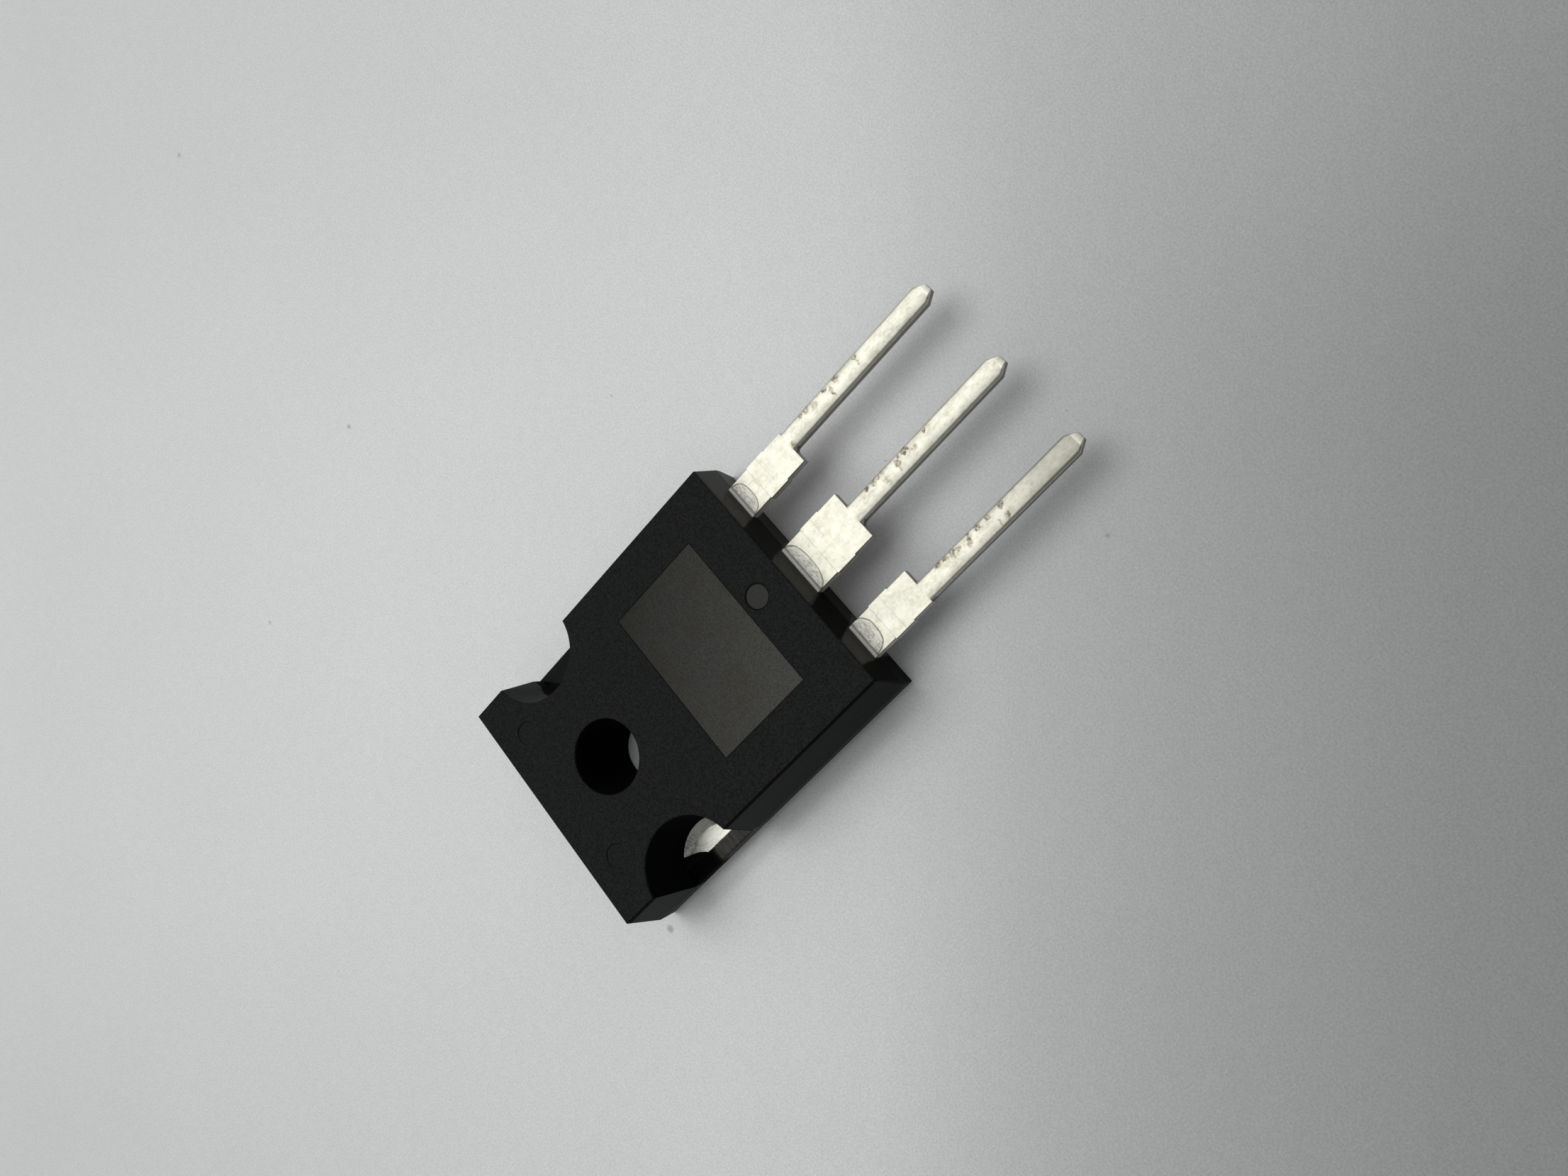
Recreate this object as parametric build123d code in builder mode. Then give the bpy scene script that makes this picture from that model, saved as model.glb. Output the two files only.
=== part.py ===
"""Three-lead through-hole rectifier package, lying on its heat-spreader side.

Frame: the origin is the mounting hole's axis where it meets the back (cooling) face.
+X runs across the package, +Y away from the leads, +Z out of the marked face.
All sizes are in millimetres.
"""
import os

from build123d import *

os.makedirs("parts", exist_ok=True)

# ---------------------------------------------------------------- moulded body
body_width = 15.6            # across the side parting ridge
body_length = 19.97          # lead-end ridge to hole-end ridge
body_thickness = 4.95        # back face to marked face
hole_to_far_end = 5.47       # hole axis to the hole-end ridge
side_ridge_height = 1.6      # parting ridge on the long sides and the hole end
front_inset_side = 0.45      # mould draft taken off each long side at the marked face
front_inset_lead_end = 0.16
front_inset_hole_end = 0.35
back_inset_side = 0.08       # mould draft taken off at the back face
back_inset_lead_end = 0.20

# ------------------------------------------------------- holes and side notches
hole_radius = 1.8            # straight part, for an M3 screw with play
hole_mouth_radius = 2.07     # drafted upper part, at the marked face
hole_straight_length = 2.0
notch_foot_radius = 2.45     # side notches at the ridge height
notch_mouth_radius = 2.93    # side notches at the marked face

# --------------------------------------------------------------- moulded marks
dimple_radius = 0.66         # round dimple next to the middle lead
dimple_depth = 0.05
dimple_from_lead_end = 1.97
ejector_radius = 0.68        # ejector pin marks by the hole-end corners
ejector_depth = 0.02
ejector_offset_x = 4.33
ejector_offset_y = 3.12

# ------------------------------------------------------------------- lead frame
lead_pitch = 5.45
lead_bottom = 2.24           # back face to the underside of the leads, also the end ridge
lead_thickness = 0.56
lead_length = 14.75          # lead-end ridge to lead tip
lead_width = 1.2             # long narrow part
outer_wide = 2.12            # wide root part of the two outer leads
centre_wide = 3.05           # wide root part of the middle lead
outer_step = 0.07            # wide part stands this far past the narrow part's outer edge
wide_length = 4.1
stub_near = 1.45             # trimmed tie-bar stubs, distances from the body
stub_far = 2.8
stub_height = 0.06
tip_width = 0.48
taper_length = 0.62
root_fillet = 0.22           # inner corners of the shoulders
coin_bevel = 0.1             # coined edge of the narrow parts

# -------------------------------------------------------------- heat spreader
tab_width = 14.0             # bare copper face on the back
tab_thickness = 2.0
tab_length = 16.5
tab_to_hole_end = 1.0        # plastic margin beyond the copper at the hole end
tab_corner = 1.2
lock_lip = 0.3               # upper part is wider, so the plastic grips it
lock_lip_height = 1.0
ring_radius = 3.6            # plastic ring around the hole on the back
ring_depth = 0.8
sleeve_radius = 2.7          # copper hole above the ring
ear_half_length = 2.6        # ears under the side notches
ear_floor_height = 1.25
ear_floor_radius = 1.9       # flat floor; a ramp leads up to the plastic wall
trim_start_x = 6.88          # trimmed outer strip of each ear
trim_edge_x = 7.65
trim_edge_height = 1.15
trim_roll_height = 0.95
plate_notch_radius = 2.85    # the plate above an ear stays covered around the notch
bend_start = 1.1             # middle lead leaves its own level, distance inside the body
bend_run = 1.0
bend_overlap = 0.6           # bend strip runs this far into the tab

# ------------------------------------------------------------------ bond posts
post_width = 3.4
post_inner_x = 3.3
post_start = 0.9             # distance inside the lead end
post_length = 1.3
post_corner = 0.3

# ----------------------------------------------------------- dice and bonding
die_size = 4.5
die_thickness = 0.3
die_offset_x = 3.4
die_y = -7.6
solder_margin = 0.1
solder_thickness = 0.08
wire_radius = 0.19
wire_spacing = 1.3
foot_width = 0.46
foot_length = 0.9
foot_height = 0.24
wire_lift = 0.205            # wire axis above the surface it is bonded to
wire_rise = 1.1              # top of the loop above the post
wire_rise_run = 0.22         # shares of the reach where the wire turns
wire_crown_run = 0.62

# ------------------------------------------------------------ derived positions
half_width = body_width / 2
hole_end = hole_to_far_end
lead_end = hole_to_far_end - body_length
lead_top = lead_bottom + lead_thickness
tab_hole_end = hole_end - tab_to_hole_end
tab_lead_end = tab_hole_end - tab_length
post_y0 = lead_end + post_start
post_y1 = post_y0 + post_length
die_bottom = tab_thickness + solder_thickness
die_top = die_bottom + die_thickness
beyond = 2.0                 # cutters run this far past the faces they open


def place_profile(points: list) -> None:
    """Draw one closed outline in the current sketch."""
    with BuildLine() as outline:
        Polyline(*points, close=True)
    make_face(outline.edges())


def drafted_envelope() -> Part:
    """Outer shape of the moulding: two drafted outlines crossed."""
    across = [
        (-half_width + back_inset_side, 0),
        (half_width - back_inset_side, 0),
        (half_width, side_ridge_height),
        (half_width - front_inset_side, body_thickness),
        (-half_width + front_inset_side, body_thickness),
        (-half_width, side_ridge_height),
    ]
    along = [
        (lead_end + back_inset_lead_end, 0),
        (hole_end, 0),
        (hole_end, side_ridge_height),
        (hole_end - front_inset_hole_end, body_thickness),
        (lead_end + front_inset_lead_end, body_thickness),
        (lead_end, lead_bottom),
    ]
    with BuildPart() as envelope:
        with BuildSketch(Plane.XZ):
            place_profile(across)
        extrude(amount=body_length, both=True)
        with BuildSketch(Plane.YZ):
            place_profile(along)
        extrude(amount=body_width, both=True, mode=Mode.INTERSECT)
    return envelope.part


def notch_wall(side: int) -> Part:
    """Room taken by one side notch above the parting ridge."""
    height = body_thickness - side_ridge_height
    with BuildPart() as notch:
        with Locations((side * half_width, 0, side_ridge_height)):
            Cone(
                notch_foot_radius,
                notch_mouth_radius,
                height,
                align=(Align.CENTER, Align.CENTER, Align.MIN),
            )
    return notch.part


def ear_cut(side: int) -> Part:
    """Room above one ear: ramp, flat floor and the trimmed outer strip."""
    trim = [
        (side * trim_start_x, ear_floor_height),
        (side * trim_edge_x, trim_edge_height),
        (side * half_width, trim_roll_height),
        (side * (half_width + beyond), trim_roll_height),
        (side * (half_width + beyond), side_ridge_height),
        (side * trim_start_x, side_ridge_height),
    ]
    wall = notch_wall(side)
    with BuildPart() as cut:
        with BuildSketch(Plane.XZ):
            place_profile(trim)
        extrude(amount=notch_foot_radius, both=True)
        with Locations((side * half_width, 0, side_ridge_height)):
            Cylinder(
                notch_foot_radius,
                side_ridge_height,
                align=(Align.CENTER, Align.CENTER, Align.MAX),
                mode=Mode.INTERSECT,
            )
        with Locations((side * half_width, 0, ear_floor_height)):
            Cone(
                ear_floor_radius,
                notch_foot_radius,
                side_ridge_height - ear_floor_height,
                align=(Align.CENTER, Align.CENTER, Align.MIN),
            )
        add(wall)
    return cut.part


def lead_outline(axis_x: float, wide_from: float, wide_to: float) -> Sketch:
    """Flat pattern of one lead, from inside the body to its tip."""
    shoulder = lead_end - wide_length
    taper_start = lead_end - lead_length + taper_length
    wide_mid = (wide_from + wide_to) / 2
    wide = wide_to - wide_from
    tip_outline = [
        (axis_x - lead_width / 2, shoulder + wide_length / 4),
        (axis_x - lead_width / 2, taper_start),
        (axis_x - tip_width / 2, lead_end - lead_length),
        (axis_x + tip_width / 2, lead_end - lead_length),
        (axis_x + lead_width / 2, taper_start),
        (axis_x + lead_width / 2, shoulder + wide_length / 4),
    ]
    with BuildSketch(Plane.XY.offset(lead_bottom)) as outline:
        with Locations((wide_mid, shoulder)):
            Rectangle(wide, wide_length + bend_start, align=(Align.CENTER, Align.MIN))
        place_profile(tip_outline)
        inner = outline.vertices().filter_by(
            lambda v: abs(v.Y - shoulder) < 0.001 and abs(abs(v.X - axis_x) - lead_width / 2) < 0.001
        )
        inner = inner.filter_by(
            lambda v: abs(v.X - wide_from) > root_fillet and abs(v.X - wide_to) > root_fillet
        )
        fillet(inner, root_fillet)
        with Locations((wide_mid, lead_end - stub_far)):
            Rectangle(
                wide + 2 * stub_height,
                stub_far - stub_near,
                align=(Align.CENTER, Align.MIN),
            )
    return outline.sketch


def coin_edges() -> None:
    """Bevel the upper long edges of the narrow part of the current lead."""
    long_edges = edges().filter_by(Axis.Y).filter_by(lambda e: e.length > lead_length / 2)
    upper = long_edges.group_by(Axis.Z)[-1]
    chamfer(upper, coin_bevel)


def outer_lead(side: int) -> Part:
    """One outer lead with the bond post hidden in the moulding."""
    axis_x = side * lead_pitch
    outer_edge = axis_x + side * (lead_width / 2 + outer_step)
    inner_edge = outer_edge - side * outer_wide
    outline = lead_outline(axis_x, min(outer_edge, inner_edge), max(outer_edge, inner_edge))
    with BuildPart() as lead:
        add(outline)
        extrude(amount=lead_thickness)
        coin_edges()
        with BuildSketch(Plane.XY.offset(lead_bottom)):
            with Locations((side * (post_inner_x + post_width / 2), (post_y0 + post_y1) / 2)):
                RectangleRounded(post_width, post_length, post_corner)
        extrude(amount=lead_thickness)
    return lead.part


def bond_wire(side: int, offset: float) -> Part:
    """One thick aluminium wire from a die's top to its lead's post."""
    die_x = side * die_offset_x + offset
    post_x = side * (post_inner_x + post_width / 2) + offset
    start = Vector(die_x, die_y - die_size / 4, die_top + wire_lift)
    finish = Vector(post_x, (post_y0 + post_y1) / 2, lead_top + wire_lift)
    reach = finish - start
    heading = Vector(reach.X, reach.Y, 0).normalized()
    crown = lead_top + wire_rise - start.Z
    turns = [
        start + Vector(reach.X * share, reach.Y * share, crown * height)
        for share, height in ((wire_rise_run, 0.9), (wire_crown_run, 1.0))
    ]
    with BuildPart() as wire:
        with BuildLine() as path:
            Polyline(start, *turns, finish)
        with BuildSketch(Plane(origin=start, z_dir=turns[0] - start)):
            Circle(wire_radius)
        sweep(path=path.wires()[0], transition=Transition.RIGHT)
        for point, level in ((start, die_top), (finish, lead_top)):
            foot = Plane(origin=(point.X, point.Y, level), x_dir=heading, z_dir=(0, 0, 1))
            with BuildSketch(foot):
                Rectangle(foot_length, foot_width)
            extrude(amount=foot_height)
    return wire.part


envelope = drafted_envelope()
ear_cuts = [ear_cut(side) for side in (-1, 1)]
centre_outline = lead_outline(0, -centre_wide / 2, centre_wide / 2)

# ------------------------------------- heat spreader with the middle lead on it
with BuildPart() as tab_with_centre_lead:
    with BuildSketch():
        with Locations((0, (tab_hole_end + tab_lead_end) / 2)):
            Rectangle(tab_width, tab_length)
        fillet(vertices().group_by(Axis.Y)[-1], tab_corner)
    extrude(amount=tab_thickness)
    with BuildSketch(Plane.XY.offset(lock_lip_height)):
        with Locations((0, (tab_hole_end + tab_lead_end) / 2)):
            Rectangle(tab_width + 2 * lock_lip, tab_length)
        fillet(vertices().group_by(Axis.Y)[-1], tab_corner)
    extrude(amount=tab_thickness - lock_lip_height)
    with BuildSketch(Plane.XY.offset(side_ridge_height)):
        with Locations((-half_width, 0), (half_width, 0)):
            Circle(plate_notch_radius)
    extrude(amount=tab_thickness - side_ridge_height, mode=Mode.SUBTRACT)
    with BuildSketch():
        Rectangle(body_width, 2 * ear_half_length)
    extrude(amount=side_ridge_height)
    add(envelope, mode=Mode.INTERSECT)
    for cut in ear_cuts:
        add(cut, mode=Mode.SUBTRACT)
    with BuildSketch():
        Circle(ring_radius)
    extrude(amount=ring_depth, mode=Mode.SUBTRACT)
    with BuildSketch():
        Circle(sleeve_radius)
    extrude(amount=tab_thickness, mode=Mode.SUBTRACT)

    # offset bend joining the tab's top layer to the middle lead
    knee = lead_thickness * 0.35
    drop = lead_top - tab_thickness
    bend = [
        (lead_end + bend_start - knee, lead_top),
        (lead_end + bend_start, lead_top),
        (lead_end + bend_start + bend_run, tab_thickness),
        (tab_lead_end + bend_overlap, tab_thickness),
        (tab_lead_end + bend_overlap, lead_bottom - drop),
        (lead_end + bend_start + bend_run - knee, lead_bottom - drop),
        (lead_end + bend_start - knee, lead_bottom),
    ]
    with BuildSketch(Plane.YZ):
        place_profile(bend)
    extrude(amount=centre_wide / 2, both=True)

with BuildPart() as centre_lead:
    add(centre_outline)
    extrude(amount=lead_thickness)
    coin_edges()
    with BuildSketch(Plane.XY.offset(lead_bottom)):
        with Locations((0, lead_end + bend_start - knee)):
            Rectangle(centre_wide, beyond, align=(Align.CENTER, Align.MIN))
    extrude(amount=lead_thickness, mode=Mode.SUBTRACT)

with tab_with_centre_lead:
    add(centre_lead.part)

# ------------------------------------------------------- outer leads and dice
lead_1 = outer_lead(-1)
lead_3 = outer_lead(1)

dice = {}
solders = {}
wires = {}
for number, side in ((1, -1), (2, 1)):
    with BuildPart() as solder:
        with Locations((side * die_offset_x, die_y, tab_thickness)):
            Box(
                die_size + 2 * solder_margin,
                die_size + 2 * solder_margin,
                solder_thickness,
                align=(Align.CENTER, Align.CENTER, Align.MIN),
            )
    solders[f"solder_layer_{number}"] = solder.part
    with BuildPart() as die:
        with Locations((side * die_offset_x, die_y, die_bottom)):
            Box(die_size, die_size, die_thickness, align=(Align.CENTER, Align.CENTER, Align.MIN))
    dice[f"diode_die_{number}"] = die.part
    for letter, offset in (("a", -wire_spacing / 2), ("b", wire_spacing / 2)):
        wires[f"bond_wire_{number}{letter}"] = bond_wire(side, offset)

inner_pieces = {
    "tab_with_centre_lead": tab_with_centre_lead.part,
    "outer_lead_1": lead_1,
    "outer_lead_3": lead_3,
    **solders,
    **dice,
    **wires,
}

# ---------------------------------------------- moulding cast around all of them
with BuildPart() as moulded_body:
    add(envelope)
    with BuildSketch():
        Circle(hole_radius)
    extrude(amount=hole_straight_length, mode=Mode.SUBTRACT)
    with Locations((0, 0, hole_straight_length)):
        Cone(
            hole_radius,
            hole_mouth_radius,
            body_thickness - hole_straight_length,
            align=(Align.CENTER, Align.CENTER, Align.MIN),
            mode=Mode.SUBTRACT,
        )
    for cut in ear_cuts:
        add(cut, mode=Mode.SUBTRACT)
    with BuildSketch(Plane.XY.offset(body_thickness)):
        with Locations((0, lead_end + dimple_from_lead_end)):
            Circle(dimple_radius)
    extrude(amount=-dimple_depth, mode=Mode.SUBTRACT)
    with BuildSketch(Plane.XY.offset(body_thickness)):
        for side in (-1, 1):
            with Locations((side * ejector_offset_x, ejector_offset_y)):
                Circle(ejector_radius)
    extrude(amount=-ejector_depth, mode=Mode.SUBTRACT)
    for piece in inner_pieces.values():
        add(piece, mode=Mode.SUBTRACT)

pieces = {"moulded_body": moulded_body.part, **inner_pieces}
for name, piece in pieces.items():
    piece.label = name
    export_step(piece, f"parts/{name}.step")
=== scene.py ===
"""Dressed model of a three-lead through-hole rectifier package, lying on its back.

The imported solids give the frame.  Four visible pieces are modelled here in millimetres and
handed over in metres: the moulding, the heat spreader with its middle lead, and the two
outer leads.  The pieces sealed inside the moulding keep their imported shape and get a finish.
"""

import logging
import math
from dataclasses import dataclass, field, replace
from enum import Enum
from functools import cached_property
from typing import Any, Callable, Optional, Union

import bmesh
import bpy
from mathutils import Matrix, Vector


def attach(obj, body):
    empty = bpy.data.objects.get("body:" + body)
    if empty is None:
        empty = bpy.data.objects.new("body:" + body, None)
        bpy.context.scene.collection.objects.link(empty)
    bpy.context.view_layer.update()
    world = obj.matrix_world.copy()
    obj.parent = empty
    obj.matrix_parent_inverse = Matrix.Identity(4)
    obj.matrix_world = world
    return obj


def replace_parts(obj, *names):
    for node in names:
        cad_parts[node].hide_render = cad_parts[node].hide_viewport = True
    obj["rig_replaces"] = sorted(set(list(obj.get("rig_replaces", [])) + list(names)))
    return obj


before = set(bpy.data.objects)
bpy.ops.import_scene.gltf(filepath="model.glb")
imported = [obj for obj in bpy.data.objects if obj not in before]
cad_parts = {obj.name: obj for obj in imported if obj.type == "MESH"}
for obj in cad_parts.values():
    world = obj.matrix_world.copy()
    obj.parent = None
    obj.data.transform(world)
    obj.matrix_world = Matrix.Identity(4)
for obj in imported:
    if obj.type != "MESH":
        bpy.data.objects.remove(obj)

LOG = logging.getLogger("rectifier")
# One millimetre in metres, and the gap in millimetres below which places are the same.
MM = 0.001
CLOSE = 0.002
# Least share of a unit normal along an axis for a face to count as facing that way.
FACING = 0.9
# Folds in degrees: no fold at all, a parting ridge, an outer edge, and the most that is
# shaded smooth on metal.
FLAT_FOLD = 0.3
RIDGE_FOLD = 5.0
EDGE_FOLD = 30.0
METAL_SMOOTH = 17.0
Point = tuple[float, float, float]
Colour = tuple[float, float, float]


@dataclass(frozen=True)
class Sizes:
    """Places and lengths that several pieces and finishes share, in millimetres."""

    half_width: float = 7.8
    lead_end: float = -14.5
    hole_end: float = 5.47
    thickness: float = 4.95
    side_ridge: float = 1.6
    end_ridge: float = 2.24
    hole_radius: float = 1.8
    marked: Point = (4.8, -11.54, -5.54)
    disc: Point = (0.0, -12.53, 0.66)
    ejectors: tuple[Point, ...] = ((4.33, 3.12, 0.68), (-4.33, 3.12, 0.68))
    lead_pitch: float = 5.45
    lead_thick: float = 0.56
    wide_length: float = 4.1
    root_line: float = -14.67
    trim_start: float = 6.88

    @property
    def lead_top(self) -> float:
        """Height of the leads' upper faces."""
        return self.end_ridge + self.lead_thick

    @property
    def shoulder(self) -> float:
        """Where the wide parts of the leads end."""
        return self.lead_end - self.wide_length


SIZES = Sizes()


# ------------------------------------------------------------------------ shader bench
class Wire:
    """Output socket of a shader node; arithmetic on it adds Math nodes."""

    def __init__(self, bench: "ShaderBench", socket: bpy.types.NodeSocket) -> None:
        """Wrap one socket.

        Args:
            bench: The bench whose node tree holds the socket.
            socket: The output socket.
        """
        self.bench = bench
        self.socket = socket

    def math(self, operation: str, *others: "Value") -> "Wire":
        """Add a Math node on this wire.

        Args:
            operation: The Math node's operation.
            others: Further operands.

        Returns:
            The result.
        """
        sockets = dict(enumerate((self, *others)))
        return self.bench.node("ShaderNodeMath", {"operation": operation}, sockets)

    def _reflected(self, operation: str, other: "Value") -> "Wire":
        """Add a Math node with this wire as the second operand."""
        return self.bench.node("ShaderNodeMath", {"operation": operation}, {0: other, 1: self})

    def __add__(self, other: "Value") -> "Wire":
        """Sum."""
        return self.math("ADD", other)

    def __radd__(self, other: "Value") -> "Wire":
        """Sum, reflected."""
        return self._reflected("ADD", other)

    def __sub__(self, other: "Value") -> "Wire":
        """Difference."""
        return self.math("SUBTRACT", other)

    def __rsub__(self, other: "Value") -> "Wire":
        """Difference, reflected."""
        return self._reflected("SUBTRACT", other)

    def __mul__(self, other: "Value") -> "Wire":
        """Product."""
        return self.math("MULTIPLY", other)

    def __rmul__(self, other: "Value") -> "Wire":
        """Product, reflected."""
        return self._reflected("MULTIPLY", other)

    def __abs__(self) -> "Wire":
        """Absolute value."""
        return self.math("ABSOLUTE")

    def high(self, other: "Value") -> "Wire":
        """The larger of two values."""
        return self.math("MAXIMUM", other)

    def ease(self, start: float, end: float) -> "Wire":
        """Smooth rise from 0 at start to 1 at end (or fall, if start is above end).

        Args:
            start: Value that gives 0.
            end: Value that gives 1.

        Returns:
            The eased value.
        """
        settings = {"interpolation_type": "SMOOTHSTEP"}
        if start < end:
            return self.bench.node("ShaderNodeMapRange", settings, {0: self, 1: start, 2: end})
        return 1.0 - self.bench.node("ShaderNodeMapRange", settings, {0: self, 1: end, 2: start})

    def within(self, low: float, high: float, soft: float) -> "Wire":
        """1 between two values, 0 outside, with soft borders."""
        return self.ease(low - soft, low + soft) * self.ease(high + soft, high - soft)

    def vector(self, operation: str, *others: Any, output: Union[int, str] = 0) -> "Wire":
        """Add a Vector Math node on this wire.

        Args:
            operation: The node's operation.
            others: Further operands.
            output: Which output to hand on.

        Returns:
            The result.
        """
        sockets = dict(enumerate((self, *others)))
        return self.bench.node("ShaderNodeVectorMath", {"operation": operation}, sockets, output)

    def scaled(self, factor: float) -> "Wire":
        """A vector times one number."""
        return self.vector("MULTIPLY", (factor, factor, factor))

    def other(self, name: str) -> "Wire":
        """Another output of the same node."""
        return Wire(self.bench, self.socket.node.outputs[name])


Value = Union[Wire, float, int]


class ShaderBench:
    """Node tree of one material or of the world, filled node by node."""

    def __init__(self, tree: bpy.types.NodeTree) -> None:
        """Empty the tree and take it over."""
        self.tree = tree
        tree.nodes.clear()

    def node(
        self,
        kind: str,
        settings: Optional[dict[str, Any]] = None,
        sockets: Optional[dict[Union[int, str], Any]] = None,
        output: Union[int, str] = 0,
    ) -> Wire:
        """Add one node.

        Args:
            kind: The node's type name.
            settings: Its own properties, and "stops" for a ramp's colours.
            sockets: Values or wires for its inputs, by index or name.
            output: Which output to hand on.

        Returns:
            The chosen output.
        """
        made = self.tree.nodes.new(kind)
        for name, value in (settings or {}).items():
            if name == "stops":
                ramp = made.color_ramp
                while len(ramp.elements) < len(value):
                    ramp.elements.new(0.5)
                for stop, (place, colour) in zip(ramp.elements, value):
                    stop.position = place
                    stop.color = (*colour, 1.0)
            else:
                setattr(made, name, value)
        for name, value in (sockets or {}).items():
            socket = made.inputs[name]
            if isinstance(value, Wire):
                self.tree.links.new(value.socket, socket)
            elif isinstance(value, tuple) and socket.type == "RGBA":
                socket.default_value = (*value, 1.0)
            else:
                socket.default_value = value
        return Wire(self, made.outputs[output]) if made.outputs else Wire(self, None)

    @cached_property
    def where(self) -> Wire:
        """Position on the piece, in millimetres."""
        return self.node("ShaderNodeTexCoord", output="Object").scaled(1.0 / MM)

    @cached_property
    def axes(self) -> tuple[Wire, Wire, Wire]:
        """The three parts of the position."""
        return self.split(self.where)

    def split(self, vector: Wire) -> tuple[Wire, Wire, Wire]:
        """The three parts of a vector."""
        x = self.node("ShaderNodeSeparateXYZ", sockets={0: vector})
        return x, x.other("Y"), x.other("Z")

    def noise(
        self, scale: float, detail: float = 2.0, rough: float = 0.5,
        squeeze: Optional[Point] = None,
    ) -> Wire:
        """Cloudy noise from 0 to 1.

        Args:
            scale: Clouds per millimetre.
            detail: Octaves of finer noise.
            rough: Strength of the finer octaves.
            squeeze: How many times narrower the clouds are along each axis.

        Returns:
            The noise value.
        """
        where = self.where.vector("MULTIPLY", squeeze) if squeeze else self.where
        sockets = {"Vector": where, "Scale": scale, "Detail": detail, "Roughness": rough}
        return self.node("ShaderNodeTexNoise", sockets=sockets)

    def distance(self, centre: Point, upright: bool = False) -> Wire:
        """Distance from a point, or from an upright axis.

        Args:
            centre: The point; for an axis, its foot at height 0.
            upright: Measure from the axis.

        Returns:
            The distance in millimetres.
        """
        where = self.where.vector("MULTIPLY", (1.0, 1.0, 0.0)) if upright else self.where
        return where.vector("DISTANCE", centre, output="Value")

    def mix(self, share: Value, first: Union[Wire, Colour], second: Union[Wire, Colour]) -> Wire:
        """Blend two colours.

        Args:
            share: 0 for the first, 1 for the second.
            first: One colour.
            second: The other colour.

        Returns:
            The blended colour.
        """
        return self.node(
            "ShaderNodeMix", {"data_type": "RGBA"}, {0: share, 6: first, 7: second}, 2
        )

    def shade(self, colour: Union[Wire, Colour], factor: Wire) -> Wire:
        """Multiply a colour by a grey value.

        Args:
            colour: The colour.
            factor: The grey value, or a colour.

        Returns:
            The product.
        """
        grey = self.node("ShaderNodeCombineColor", sockets={0: factor, 1: factor, 2: factor})
        settings = {"data_type": "RGBA", "blend_type": "MULTIPLY"}
        return self.node("ShaderNodeMix", settings, {0: 1.0, 6: colour, 7: grey}, 2)

    def bump(self, height: Wire, depth: float) -> Wire:
        """Turn a height from 0 to 1 into a surface normal.

        Args:
            height: Relief.
            depth: Depth of the relief in millimetres.

        Returns:
            The normal.
        """
        sockets = {"Height": height, "Strength": 1.0, "Distance": depth * MM}
        return self.node("ShaderNodeBump", sockets=sockets)

    def blob(
        self, centre: Point, size: Point, edge: float, where: Optional[Wire] = None
    ) -> Wire:
        """Soft ellipsoid: 1 at its heart, 0 outside.

        Args:
            centre: Its middle.
            size: Its three half sizes.
            edge: Share of the radius over which it fades.
            where: Position, if it isn't the plain one.

        Returns:
            The mask.
        """
        inverse = tuple(1.0 / s for s in size)
        reach = (where or self.where).vector("SUBTRACT", centre).vector("MULTIPLY", inverse)
        return reach.vector("LENGTH", output="Value").ease(1.0 + edge, 1.0 - edge)

    def surface(self, **sockets: Any) -> None:
        """Close the tree with a Principled shader.

        Args:
            sockets: Inputs by name, with underscores for spaces.
        """
        named = {name.replace("_", " "): value for name, value in sockets.items()}
        shader = self.node("ShaderNodeBsdfPrincipled", sockets=named)
        self.node("ShaderNodeOutputMaterial", sockets={"Surface": shader})


# ---------------------------------------------------------------------- modelling bench
class Part(Enum):
    """What an edit-mode selection is made of."""

    CORNERS = (True, False, False)
    EDGES = (False, True, False)
    FACES = (False, False, True)


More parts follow.
